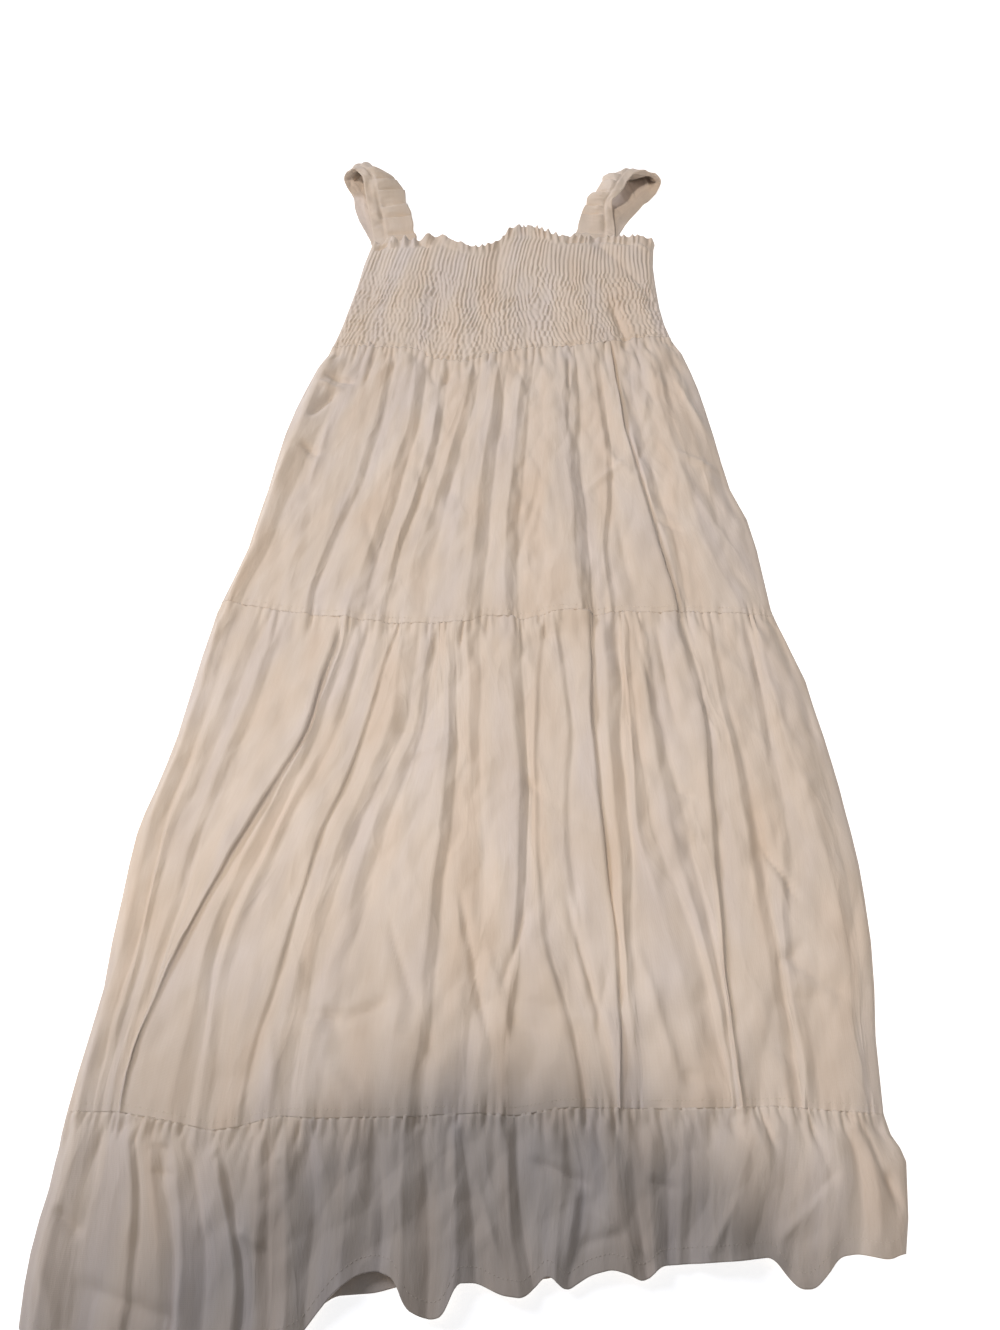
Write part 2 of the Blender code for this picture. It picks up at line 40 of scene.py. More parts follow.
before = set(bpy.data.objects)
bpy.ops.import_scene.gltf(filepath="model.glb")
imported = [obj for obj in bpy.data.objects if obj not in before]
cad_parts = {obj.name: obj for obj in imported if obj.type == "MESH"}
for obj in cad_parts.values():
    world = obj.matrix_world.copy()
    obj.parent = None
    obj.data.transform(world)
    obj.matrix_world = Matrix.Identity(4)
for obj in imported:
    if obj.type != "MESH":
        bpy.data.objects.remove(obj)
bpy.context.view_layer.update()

MM = 0.001
# The cutting plan's origin in the frame, in millimetres. Every table below is in the plan: x to the right, y to neck.
PLAN = (17.041, -573.673)
FRONT_REST = 3.1  # outer face of the front layer where it has no air under it
HEADING = 16.0  # loose frill above the first shirring row
STRAP_BAND = 0.28  # share of a strap's width that its plain band takes
HEM_FOLD = 13.0  # depth of the turned hem
CLOTH, BACK_CLOTH, STRAP_CLOTH, HEM_CLOTH = 0.6, 0.4, 0.7, 1.3  # thickness, with the smallest folds in it
ROLL = 0.55  # radius of a side that turns under
EDGE_ROW = 1.3  # width of the first and the last row of faces, which keeps the edges sharp
LEAST_GAP = 2.2  # between a fold's crest and its valley
CLOTH_WIDTH = 640  # of a panel laid flat, for wrinkles that follow the cloth
WRINKLES = 1.5  # height of the crumpled cloth's wrinkles
ALLOWANCE = 0.35  # by which the seam allowances under the cloth lift it
TUCK, TUCK_DROP = 1.2, 0.15  # how far a gathered edge lies under the panel above, and below its face
SEAM_STITCH, WAIST_STITCH = 6.5, 5  # topstitching, above a seam
STITCH, STITCH_STEP = 2.2, 3.4  # length of a stitch, and from one to the next
TAPER = 0.00075  # by which gathers fan out, for each millimetre below their seam
CELLS = (97, 89)  # size of the tables of random numbers

Point = namedtuple("Point", "x y")
Level = namedtuple("Level", "y left right")
# A fold climbs gently from the fold before it to its crest, and falls steeply to its valley. The x of both are
# given at its panel's five heights, and its rise at the first, the third and the last.
# A lap from 0 to 1 tucks its valley under its crest.
Fold = namedtuple("Fold", "c1 c2 c3 c4 c5 v1 v2 v3 v4 v5 top mid end lap", defaults=[0])
# A crease runs from one point to another: a ridge if its rise is positive, a trough if negative.
Crease = namedtuple("Crease", "x1 y1 x2 y2 rise spread")
# Where a strap's plain edge and its ruffled edge run, from the front of the bodice over the turn to the back.
Section = namedtuple("Section", "plain_x plain_y plain_z ruffled_x ruffled_y ruffled_z")
# The gathers of a panel's upper edge come in sets, and `pucker` is the set under its lower edge.
Gathers = namedtuple("Gathers", "spacing longest wide deep seed")
Panel = namedtuple(
    "Panel", "top bottom heights folds fold_depth creases loft round_left round_right above gathers pucker"
)


def table(kind, rows):
    """Rows of numbers with their columns named."""
    return [kind(*row) for row in rows]


SIDES = table(Level, [
    (1104, -164, 203), (1092, -169, 200), (1060, -176, 197), (1020, -182, 198), (985, -189, 200),
    (955, -195, 204), (930, -201, 210), (905, -209, 222), (880, -221, 229), (850, -231, 236), (820, -240, 241),
    (780, -249, 247), (740, -255, 252), (700, -260, 258), (660, -267, 272), (620, -273, 278), (580, -284, 281),
    (540, -296, 284), (520, -299, 290), (490, -304, 299), (460, -308, 308), (430, -312, 312), (400, -316, 317),
    (370, -322, 321), (345, -328, 324), (320, -335, 326), (300, -339, 328), (270, -341, 330), (240, -342, 330),
    (200, -344, 329), (160, -344, 325), (120, -349, 319), (90, -353, 317), (60, -356, 315), (45, -357, 318),
    (35, -357, 324), (25, -358, 327), (5, -359, 324), (-15, -362, 321), (-38, -364, 315), (-60, -364, 313),
    (-90, -362, 312),
])
NECK = table(Point, [
    (-166, 1100), (-106, 1100), (-92, 1105), (-76, 1107), (-60, 1097), (-39, 1087), (-20, 1089), (0, 1102),
    (10, 1118), (22, 1125), (45, 1125), (62, 1115), (76, 1107), (180, 1107), (204, 1102),
])
WAIST = table(Point, [
    (-206, 914), (-150, 912), (-100, 909), (-84, 893), (-41, 887), (-16, 899), (34, 910), (83, 912), (133, 921),
    (165, 926), (212, 930),
])
UPPER_SEAM = table(Point, [
    (-295, 551), (-280, 548), (-246, 541), (-220, 535), (-166, 529), (-109, 523), (-56, 522), (-32, 522),
    (-18, 533), (23, 528), (66, 535), (98, 532), (126, 537), (162, 533), (195, 537), (254, 533), (286, 533),
])
LOWER_SEAM = table(Point, [
    (-357, 61), (-313, 61), (-282, 56), (-249, 50), (-233, 47), (-217, 49), (-180, 58), (-154, 56), (-85, 57),
    (-17, 60), (13, 58), (52, 64), (150, 63), (225, 65), (267, 62), (316, 59),
])
HEM = table(Point, [
    (-364, -86), (-340, -98), (-300, -102), (-250, -101), (-200, -101), (-165, -98), (-150, -93), (-140, -80),
    (-126, -64), (-110, -53), (-95, -50), (-80, -55), (-72, -74), (-60, -80), (-50, -82), (-42, -78), (-34, -58),
    (-18, -58), (1, -66), (18, -68), (28, -60), (35, -52), (42, -56), (50, -64), (69, -53), (86, -49), (100, -53),
    (110, -58), (123, -47), (156, -45), (188, -43), (210, -41), (219, -53), (226, -62), (239, -62), (249, -53),
    (261, -41), (276, -39), (299, -43), (312, -39),
])
BACK_HEM = table(Point, [
    (-364, -80), (-300, -94), (-200, -93), (-155, -86), (-126, -67), (-95, -65), (-74, -60), (-40, -56),
    (35, -56), (80, -46), (210, -39), (312, -36),
])

BODICE_CREASES = table(Crease, [
    (118, 1112, 152, 1062, -4.6, 13), (152, 1062, 180, 1015, -5.0, 13), (180, 1015, 198, 962, -3.6, 13),
    (-116, 1090, -118, 925, 2.8, 22), (-150, 1095, -168, 960, -2.6, 14), (2, 1112, -8, 1005, -3.8, 14),
    (60, 1085, 92, 960, 2.2, 32), (-45, 1060, -60, 930, 2.0, 28), (140, 985, 158, 905, -3.6, 8),
    (150, 1070, 196, 960, 2.6, 20), (-84, 1040, -70, 900, -2.2, 16), (20, 1010, 40, 915, -1.8, 18),
    (-166, 1096, -148, 1104, -3.4, 3), (-162, 1084, -142, 1096, -3.0, 3), (-150, 1106, -140, 1086, 2.6, 3),
    (-118, 1104, -92, 1086, -2.4, 4), (126, 1104, 176, 1092, -2.0, 4), (84, 1096, 112, 1098, -2.0, 3),
    (176, 1092, 200, 1076, 2.2, 4),
])

UPPER_HEIGHTS = (900, 800, 700, 600, 540)
UPPER_FOLDS = table(Fold, [
    (-199, -228, -250, -270, -290, -180, -204, -228, -254, -276, 5.0, 6.0, 3.4),
    (-133, -142, -164, -191, -204, -127, -134, -155, -185, -197, 2.2, 3.4, 2.6),
    (-100, -104, -122, -144, -158, -87, -92, -109, -133, -140, 3.4, 4.6, 3.4),
    (-72, -75, -92, -116, -126, -61, -65, -83, -110, -119, 3.2, 4.2, 1.2, 0.2),
    (-32, -44, -67, -92, -100, -21, -33, -56, -72, -80, 3.2, 3.0, 1.6),
    (2, -12, -22, -30, -36, 12, 1, -7, -15, -20, 3.4, 4.8, 4.2),
    (30, 20, 11, 5, 5, 40, 34, 24, 19, 18, 3.8, 4.2, 2.6),
    (70, 65, 74, 74, 77, 93, 92, 92, 96, 98, 4.6, 6.6, 6.4, 0.35),
    (113, 116, 121, 108, 116, 120, 124, 127, 114, 122, 2.6, 2.8, 1.8),
    (129, 138, 150, 170, 178, 136, 144, 160, 178, 187, 3.4, 5.0, 4.6, 0.8),
    (139, 147, 163, 182, 191, 152, 159, 176, 192, 198, 2.0, 2.6, 0.8),
    (177, 188, 206, 226, 252, 214, 232, 250, 268, 276, 4.6, 4.6, 2.2),
])
UPPER_CREASES = table(Crease, [
    (-214, 850, -186, 842, 3.0, 4), (-221, 800, -196, 838, -4.0, 6), (-226, 760, -205, 742, -3.0, 6),
    (118, 752, 150, 705, 1.2, 5), (137, 700, 178, 778, -1.0, 5), (-207, 864, -172, 853, -3.6, 5),
    (-160, 850, -150, 905, -2.4, 5), (78, 890, 74, 840, -2.2, 5), (62, 840, 72, 700, -1.2, 8),
    (205, 862, 238, 775, 2.2, 6), (200, 742, 245, 720, 2.4, 5), (94, 690, 142, 736, 1.6, 4),
    (-146, 660, -130, 590, -1.4, 7), (20, 610, 45, 700, -1.6, 7), (168, 655, 198, 638, -1.8, 5),
    (-198, 790, -212, 700, 1.8, 5), (-230, 640, -222, 560, 1.0, 9), (-20, 660, -62, 640, 0.8, 12),
    (128, 650, 140, 560, -1.6, 5), (22, 880, 30, 845, -1.6, 6), (165, 905, 170, 870, -1.8, 5),
    (172, 835, 165, 790, 1.2, 6), (-86, 885, -78, 850, -1.8, 6), (-55, 880, -66, 850, -1.8, 5),
    (45, 670, 40, 635, -1.4, 5), (-160, 700, -163, 680, 1.0, 4), (246, 590, 262, 560, -1.2, 8),
])

MIDDLE_HEIGHTS = (520, 400, 300, 200, 90)
MIDDLE_FOLDS = table(Fold, [
    (-288, -306, -326, -332, -344, -274, -293, -312, -319, -333, 3.6, 4.4, 3.2),
    (-256, -284, -310, -316, -330, -246, -270, -303, -311, -325, 2.6, 2.2, 1.0),
    (-232, -257, -284, -298, -320, -222, -247, -277, -291, -314, 2.8, 2.4, 1.2),
    (-171, -193, -240, -285, -316, -162, -187, -234, -280, -311, 3.6, 5.6, 2.4, 0.7),
    (-158, -184, -226, -257, -268, -151, -176, -212, -248, -252, 1.4, 3.6, 4.0),
    (-140, -165, -207, -241, -246, -134, -158, -199, -232, -238, 1.8, 2.6, 1.4),
    (-110, -134, -167, -190, -213, -105, -130, -163, -186, -208, 2.4, 3.2, 2.0, 0.45),
    (-101, -107, -146, -171, -188, -83, -92, -134, -158, -173, 4.6, 5.0, 2.6),
    (-70, -84, -119, -143, -162, -62, -76, -106, -128, -146, 1.0, 2.8, 1.8),
    (-57, -51, -61, -66, -75, -48, -40, -46, -54, -62, 3.0, 5.4, 3.6, 0.3),
    (-34, -30, -24, -26, -40, -20, -20, -16, -16, -30, 3.6, 0.8, 1.2),
    (6, 8, 14, 9, 0, 22, 25, 28, 18, 8, 4.8, 5.0, 1.4, 0.45),
    (40, 34, 31, 37, 64, 44, 38, 35, 42, 69, 1.0, 1.6, 3.2),
    (57, 66, 58, 66, 87, 62, 71, 63, 72, 93, 2.2, 1.2, 1.8),
    (82, 86, 90, 96, 96, 96, 93, 97, 104, 102, 4.6, 3.8, 3.2, 0.8),
    (106, 105, 108, 110, 112, 123, 118, 121, 116, 118, 4.6, 4.2, 0.8),
    (128, 127, 127, 150, 168, 133, 133, 142, 172, 188, 1.2, 3.4, 3.0),
    (142, 149, 156, 180, 191, 149, 160, 172, 189, 194, 3.0, 4.4, 0.8),
    (178, 196, 194, 193, 196, 192, 205, 202, 198, 200, 4.2, 4.8, 2.6, 0.4),
    (212, 221, 229, 232, 238, 219, 229, 240, 241, 248, 2.8, 3.4, 1.6),
    (246, 256, 260, 250, 252, 255, 264, 268, 257, 262, 3.0, 1.6, 2.4),
    (264, 276, 296, 304, 298, 288, 306, 314, 316, 308, 3.8, 3.4, 1.2),
])
MIDDLE_CREASES = table(Crease, [
    (241, 178, 268, 196, -2.0, 5), (235, 146, 283, 153, -1.4, 6), (-134, 132, -93, 148, -2.8, 5),
    (-93, 135, -60, 104, 2.2, 5), (-14, 150, 61, 141, -1.8, 5), (81, 116, 93, 180, -1.8, 5),
    (22, 222, 0, 158, -2.4, 5), (-98, 215, -72, 140, -2.0, 5), (60, 235, 84, 140, -2.2, 5),
    (-36, 240, -8, 112, -3.0, 6), (162, 520, 172, 410, -2.4, 4), (120, 195, 150, 78, 1.8, 5),
    (-188, 137, -118, 133, -2.2, 6), (-150, 100, -112, 62, 2.4, 6), (-20, 148, 32, 122, -2.4, 6),
    (86, 150, 98, 78, 2.0, 7), (240, 290, 268, 235, -2.4, 4), (246, 190, 300, 150, -1.8, 5),
    (150, 88, 180, 84, -2.4, 6), (-96, 402, -50, 402, -1.0, 4), (-88, 378, -56, 384, 1.2, 5),
    (165, 343, 182, 332, -1.8, 4), (166, 305, 190, 290, 1.4, 4), (24, 352, 36, 340, -2.0, 6),
    (-176, 142, -140, 110, 1.6, 7), (-148, 142, -132, 118, -2.4, 5), (-205, 88, -240, 86, -1.2, 5),
    (84, 145, 100, 140, -2.0, 6), (60, 132, 84, 136, 1.4, 6), (-14, 200, 10, 110, 1.6, 6),
    (28, 340, 88, 300, -0.8, 4), (-60, 95, -30, 70, 1.8, 6), (30, 300, 82, 292, 0.7, 8),
    (-196, 130, -186, 80, 1.6, 6), (220, 120, 246, 100, -1.4, 8),
])

FLOUNCE_HEIGHTS = (60, 30, 0, -30, -62)
FLOUNCE_FOLDS = table(Fold, [
    (-343, -343, -344, -346, -346, -326, -324, -322, -324, -322, 2.8, 4.4, 4.4),
    (-302, -296, -290, -286, -284, -297, -291, -285, -281, -278, 2.6, 3.6, 2.2),
    (-286, -279, -272, -262, -258, -280, -272, -262, -252, -246, 1.8, 3.2, 2.8),
    (-274, -262, -252, -245, -240, -266, -250, -237, -229, -222, 2.2, 4.6, 5.0),
    (-234, -228, -217, -208, -200, -229, -223, -212, -203, -194, 2.2, 4.4, 4.2),
    (-197, -192, -190, -188, -184, -190, -185, -182, -179, -174, 2.6, 2.0, 1.4),
    (-173, -171, -170, -166, -160, -158, -152, -146, -146, -146, 3.4, 5.0, 5.0),
    (-122, -121, -121, -122, -122, -100, -96, -90, -92, -94, 2.4, 3.6, 3.8),
    (-82, -78, -78, -76, -74, -68, -62, -56, -54, -54, 3.0, 5.0, 6.0),
    (-38, -36, -35, -34, -36, -31, -29, -22, -20, -20, 3.6, 5.6, 5.8),
    (5, 6, 7, 10, 15, 13, 13, 14, 19, 27, 2.8, 4.2, 4.8),
    (50, 51, 47, 44, 42, 60, 65, 68, 58, 52, 2.8, 4.4, 4.2),
    (96, 95, 94, 96, 102, 107, 107, 108, 107, 114, 3.0, 4.4, 4.0),
    (122, 120, 120, 118, 120, 130, 132, 136, 130, 128, 2.2, 2.6, 2.4),
    (150, 145, 143, 138, 136, 158, 152, 150, 146, 144, 3.0, 2.0, 2.0),
    (210, 198, 184, 177, 178, 236, 232, 222, 213, 214, 3.6, 6.2, 6.4),
    (270, 274, 266, 256, 251, 283, 289, 284, 280, 274, 2.6, 4.0, 4.2),
    (292, 300, 300, 292, 290, 300, 311, 314, 308, 305, 1.8, 3.4, 3.0),
])
FLOUNCE_CREASES = table(Crease, [
    (27, 26, 70, 8, -2.4, 6), (60, 5, 50, -45, 2.0, 7), (308, 16, 320, -12, -2.6, 6),
    (-348, -8, -326, -26, -3.0, 6), (214, -32, 262, 10, 2.0, 7), (160, -40, 182, -5, 1.6, 6),
    (76, -12, 112, -40, 1.6, 5), (60, -34, 96, -24, -1.4, 6), (-282, 36, -266, 34, -1.4, 4),
    (-278, 18, -258, 15, -1.2, 4), (-232, 28, -222, 40, 1.6, 4), (-325, -58, -240, -84, -2.4, 8),
    (-205, -22, -182, -34, 1.6, 6), (-355, -40, -330, -85, 1.6, 8), (118, 12, 140, 4, -1.6, 6),
    (-180, 30, -176, 24, 1.0, 4), (-18, 10, -2, -38, 1.6, 5), (236, -12, 268, 18, -1.6, 6),
])

# Fine gathers lie close to a seam, and long ones run on into the tier.
UPPER_GATHERS = (Gathers(7.0, 50, 2.0, 2.4, 3), Gathers(26, 180, 3.6, 2.6, 4))
MIDDLE_GATHERS = (Gathers(6.5, 44, 1.9, 2.4, 5), Gathers(26, 190, 3.6, 2.3, 6))
FLOUNCE_GATHERS = (Gathers(6.0, 34, 1.8, 2.6, 8), Gathers(18, 90, 3.6, 3.0, 9))

BODICE = Panel(NECK, WAIST, (), [], 0, BODICE_CREASES, 6.5, 34, 26, None, (), UPPER_GATHERS[0])
UPPER_TIER = Panel(
    WAIST, UPPER_SEAM, UPPER_HEIGHTS, UPPER_FOLDS, 1.55, UPPER_CREASES, 5.5, 15, 30, BODICE, UPPER_GATHERS,
    MIDDLE_GATHERS[0],
)
MIDDLE_TIER = Panel(
    UPPER_SEAM, LOWER_SEAM, MIDDLE_HEIGHTS, MIDDLE_FOLDS, 1.25, MIDDLE_CREASES, 5.0, 16, 28, UPPER_TIER,
    MIDDLE_GATHERS, FLOUNCE_GATHERS[0],
)
FLOUNCE = Panel(
    LOWER_SEAM, HEM, FLOUNCE_HEIGHTS, FLOUNCE_FOLDS, 1.25, FLOUNCE_CREASES, 4.0, 16, 26, MIDDLE_TIER,
    FLOUNCE_GATHERS, None,
)

LEFT_STRAP = table(Section, [
    (-165, 1101, 2.6, -110, 1103, 2.6), (-168, 1122, 6, -113, 1128, 5), (-172, 1144, 12, -119, 1152, 10),
    (-177, 1166, 19, -125, 1175, 15), (-180, 1182, 26, -131, 1191, 20), (-183, 1194, 32, -141, 1204, 24),
    (-189, 1202, 36, -157, 1216, 25), (-197, 1206, 36, -176, 1238, 15), (-204, 1207, 30, -188, 1248, 8),
    (-208, 1206, 21, -192, 1250, 5), (-206, 1203, 10, -186, 1246, 3), (-201, 1198, 3.5, -170, 1232, 2),
    (-197, 1188, 1.2, -152, 1202, 1), (-195, 1172, 1, -150, 1176, 0.9), (-186, 1143, 1, -138, 1148, 0.9),
    (-172, 1112, 1, -124, 1114, 0.9), (-168, 1098.4, 1, -122, 1098.4, 0.9),
])
RIGHT_STRAP = table(Section, [
    (151, 1107, 2.6, 95, 1109, 2.6), (152, 1126, 6, 103, 1137, 5), (149, 1147, 14, 110, 1158, 9),
    (148, 1160, 21, 116, 1175, 15), (154, 1164, 27, 126, 1183, 19), (162, 1172, 32, 134, 1195, 23),
    (168, 1185, 36, 140, 1207, 23), (177, 1196, 38, 148, 1221, 14), (191, 1201, 37, 161, 1229, 5),
    (207, 1205, 31, 179, 1234, 2.5), (216, 1203, 22, 199, 1239, 2), (215, 1200, 12, 206, 1241, 2),
    (205, 1190, 5, 198, 1240, 2), (191, 1174, 2, 178, 1230, 2), (173, 1150, 1.2, 148, 1198, 1),
    (158, 1122, 0.9, 114, 1140, 0.9), (152, 1105.4, 0.9, 108, 1105.4, 0.9),
])


# ---- the lie of the cloth -------------------------------------------------------------------------------------


def curve(points, x):
    """Height of a seam or hem at x, its corners softened."""
    xs, ys = [p.x for p in points], [p.y for p in points]
    return sum(np.interp(x + step, xs, ys) for step in (-4, -2, 0, 2, 4)) / 5


def side(y, right):
    """The dress's left or right edge at height y."""
    levels = SIDES[::-1]
    return np.interp(y, [level.y for level in levels], [level.right if right else level.left for level in levels])


def across(x, y):
    """Share of the way from the dress's left edge to its right edge."""
    left = side(y, False)
    return (x - left) / (side(y, True) - left)


def smooth(value, low, high):
    """0 at low and below, 1 at high and above, with soft ends."""
    share = np.clip((value - low) / (high - low), 0, 1)
    return share * share * (3 - 2 * share)


def inside(x, y, reach):
    """0 at the dress's sides and 1 from reach inwards."""
    return smooth(np.minimum(x - side(y, False), side(y, True) - x), 0, reach)


def ripple(u, v, seed):
    """Smooth unevenness from -1 to 1, with a cell of one unit each way."""
    values = np.random.default_rng(seed).uniform(-1, 1, CELLS)
    i, j = np.floor(u).astype(int), np.floor(v).astype(int)
    s, t = u - i, v - j
    s, t = s * s * (3 - 2 * s), t * t * (3 - 2 * t)
    i, j, i_next, j_next = i % CELLS[0], j % CELLS[1], (i + 1) % CELLS[0], (j + 1) % CELLS[1]
    low = values[i, j] * (1 - s) + values[i_next, j] * s
    high = values[i, j_next] * (1 - s) + values[i_next, j_next] * s
    return low * (1 - t) + high * t


def fold_lines(panel, y):
    """x of the left edge, then of each fold's crest and valley, then of the right edge, at height y."""
    heights = panel.heights[::-1]
    lines = [side(y, False)]
    for k, fold in enumerate(panel.folds):
        for places, wander in ((fold[4::-1], 0), (fold[9:4:-1], 0.6)):
            line = sum(np.interp(y + step, heights, places) for step in (-20, 0, 20)) / 3
            lines.append(line + 0.9 * np.sin(y / 29 + 2.4 * k) + 0.5 * np.sin(y / 14 + 1.3 * k + wander))
    lines = np.array(lines + [side(y, True)])
    # No two lines come nearer than the least gap, and none crosses the right edge.
    gaps = LEAST_GAP * np.arange(len(lines))[:, None]
    lines = np.maximum.accumulate(lines - gaps, axis=0) + gaps
    return np.minimum(lines, side(y, True) - gaps[::-1])


def fold_place(panel, x, y):
    """Which fold each point lies on, whether it climbs or falls there, its share of the way, and its rise."""
    lines = fold_lines(panel, y)
    k = np.clip((x >= lines).sum(axis=0) - 1, 0, len(lines) - 2)
    here = np.arange(len(x))
    left, right = lines[k, here], lines[k + 1, here]
    places = (panel.heights[-1], panel.heights[2], panel.heights[0])
    rises = np.array([np.interp(y, places, (f.end, f.mid, f.top)) for f in panel.folds] + [0 * y])
    fold = np.minimum(k // 2, len(panel.folds))
    tail = lines[np.minimum(k + 2, len(lines) - 1), here] - right
    return fold, k % 2 == 0, left, right, tail, rises[fold, here]


def fold_rise(panel, x, y):
    """How far the folds stand over the puffed cloth."""
    if not panel.folds:
        return np.zeros_like(x)
    fold, climbs, left, right, _, rise = fold_place(panel, x, y)
    share = np.clip((x - left) / (right - left), 0, 1)
    climb = 0.8 * share + 0.2 * np.sin(np.pi * share / 2)
    uneven = panel.fold_depth * (0.95 + 0.3 * ripple(y / 52, fold * 1.7, 45))
    return uneven * rise * np.where(climbs, climb, 1 - share) * inside(x, y, 12)


def fold_lap(panel, x, y):
    """How far a lapped fold's crest is drawn to the right, over its valley."""
    if not panel.folds:
        return np.zeros_like(x)
    fold, climbs, left, right, tail, rise = fold_place(panel, x, y)
    lap = np.array([f.lap for f in panel.folds] + [0])[fold] * np.clip(rise / 3.5, 0, 1)
    reach = np.where(climbs, tail, right - left) * (0.75 + 0.35 * ripple(x / 50, y / 60, 33))
    near = np.where(climbs, (1 - (right - x) / 18).clip(0) ** 2, 1 - (x - left) / (right - left))
    return lap * reach * near.clip(0, 1) * inside(x, y, 12)


def puff(panel, x, y):
    """Air between the two layers, rounded down to nothing at each side of the dress."""
    left = np.clip((x - side(y, False)) / panel.round_left, 0, 1)
    right = np.clip((side(y, True) - x) / panel.round_right, 0, 1)
    return panel.loft * np.sqrt(np.clip(1 - (1 - left) ** 2, 0, 1)) * np.sqrt(np.clip(1 - (1 - right) ** 2, 0, 1))


def crease_rise(panel, x, y):
    """Sum of the panel's single creases."""
    total = np.zeros_like(x)
    for crease in panel.creases:
        along = np.array([crease.x2 - crease.x1, crease.y2 - crease.y1], float)
        length = np.hypot(*along)
        along /= length
        t = (x - crease.x1) * along[0] + (y - crease.y1) * along[1]
        off = (y - crease.y1) * along[0] - (x - crease.x1) * along[1]
        fade = smooth(t, -0.15 * length, 0.25 * length) * smooth(length - t, -0.15 * length, 0.25 * length)
        # The narrow ones are sharp and stand higher.
        peak = crease.rise * (1.7 if crease.spread < 9 else 1)
        total += peak * fade * np.exp(-1.6 * np.abs(off / crease.spread) ** 1.5)
    return total * inside(x, y, 16)


def relief(panel, x, y):
    """Height of the front cloth's main form over its rest. Below a seam it starts as the panel above ends."""
    own = puff(panel, x, y) + fold_rise(panel, x, y) + crease_rise(panel, x, y)
    if panel.above is None:
        return np.maximum(own, 0)
    seam = curve(panel.top, x)
    start = relief(panel.above, x, seam)
    share = smooth(seam - y, 0, 30)
    return np.maximum(start + (own - start) * share, 0)


def seam_gathers(x, depth, gathers):
    """Pinched gathers that hang from a seam, uneven in depth, length and spacing."""
    rng = np.random.default_rng(gathers.seed)
    total = np.zeros_like(x)
    place, last = -370.0, 345
    while place < last:
        place += gathers.spacing * rng.uniform(0.5, 1.5)
        length = gathers.longest * rng.uniform(0.25, 1.0) ** 1.4 + 6
        lean = rng.uniform(-0.10, 0.10)
        wide, deep = gathers.wide * rng.uniform(0.7, 1.3), gathers.deep * rng.uniform(0.45, 1.3)
        near = (np.abs(x - place * (1 + TAPER * depth)) < 30 + 4 * gathers.wide) & (depth < length)
        if not near.any():
            continue
        d, px = depth[near], x[near]
        middle = place + lean * d + place * TAPER * d
        fade = 1 - smooth(d, 0.2 * length, length)
        if gathers.longest > 60:
            fade = fade * smooth(d, 0, 16)
        wider = wide * (1 + 1.2 * d.clip(0) / length)
        total[near] -= deep * fade * np.exp(-np.abs((px - middle) / wider) ** 1.5)
    return total


def facets(u, v, seed):
    """Sharp ridges between uneven cells, as where cloth was crushed: 0 in a cell's middle, most at its edge."""
    jitter = np.random.default_rng(seed).uniform(0, 1, (2, *CELLS))
    i, j = np.floor(u).astype(int), np.floor(v).astype(int)
    nearest = np.full(u.shape, 9.0)
    for p in (-1, 0, 1):
        for q in (-1, 0, 1):
            place = (i + p) % CELLS[0], (j + q) % CELLS[1]
            nearest = np.minimum(nearest, np.hypot(i + p + jitter[0][place] - u, j + q + jitter[1][place] - v))
    return nearest


def crumple(x, y, size, seed):
    """Soft wrinkles, most of them longer along the dress than across it, with crushed patches between them."""
    u, v = across(x, y) * CLOTH_WIDTH, y
    long = 1 - 2 * np.abs(ripple(u / 15, v / 95, seed))
    fine = 0.25 * ripple(u / 6.5, v / 40, seed + 1) + 0.5 * ripple(u / 14 + v / 60, v / 26, seed + 2)
    crushed = facets(u / 30 + v / 150, v / 58, seed + 3) - facets(u / 23 - v / 110, v / 41, seed + 4)
    patch = 0.4 + 0.8 * smooth(ripple(u / 60, v / 70, seed + 5), -0.3, 0.4)
    return size * (0.25 * long + 0.35 * fine + 2.2 * crushed * patch) * inside(x, y, 10)


def front_height(panel, x, y):
    """Height of the front layer's outer face above the surface, with its gathers and wrinkles."""
    rise = relief(panel, x, y)
    edge = inside(x, y, 9)
    top, bottom = curve(panel.top, x), curve(panel.bottom, x)
    for gathers in panel.gathers:
        rise = rise + seam_gathers(x, top - y, gathers) * edge
    if panel.pucker:
        # The edge turns down into the seam, and the gathers below pucker it a little.
        rise = rise - 0.08 * (1 - smooth(y - bottom, 0, 1.4))
        rise = rise + seam_gathers(x, 3.2 * (y - bottom), panel.pucker) * edge
        # The allowances of the seam below lie double under the cloth.
        rise = rise + ALLOWANCE * (smooth(bottom + 9 - y, 0, 3) - smooth(bottom + 1 - y, 0, 1)) * edge
    if panel is not BODICE:
        wrinkles = crumple(x, y, WRINKLES, 31)
        if panel is UPPER_TIER:
            # The waist's gathers stand out a little and keep the cloth there from wrinkling.
            rise = rise + 0.5 * (1 - smooth(top - y, 1, 12))
            wrinkles = wrinkles * smooth(top - y, 0, 25)
        rise = rise + wrinkles
    lip = np.minimum(np.minimum(x - side(y, False), side(y, True) - x) / 3.5, 1).clip(0)
    rest = 0.9 + (FRONT_REST - 0.9) * np.sqrt(1 - (1 - lip) ** 2)
    return rest + rise.clip(-1.0)


# ---- sheets of cloth ------------------------------------------------------------------------------------------


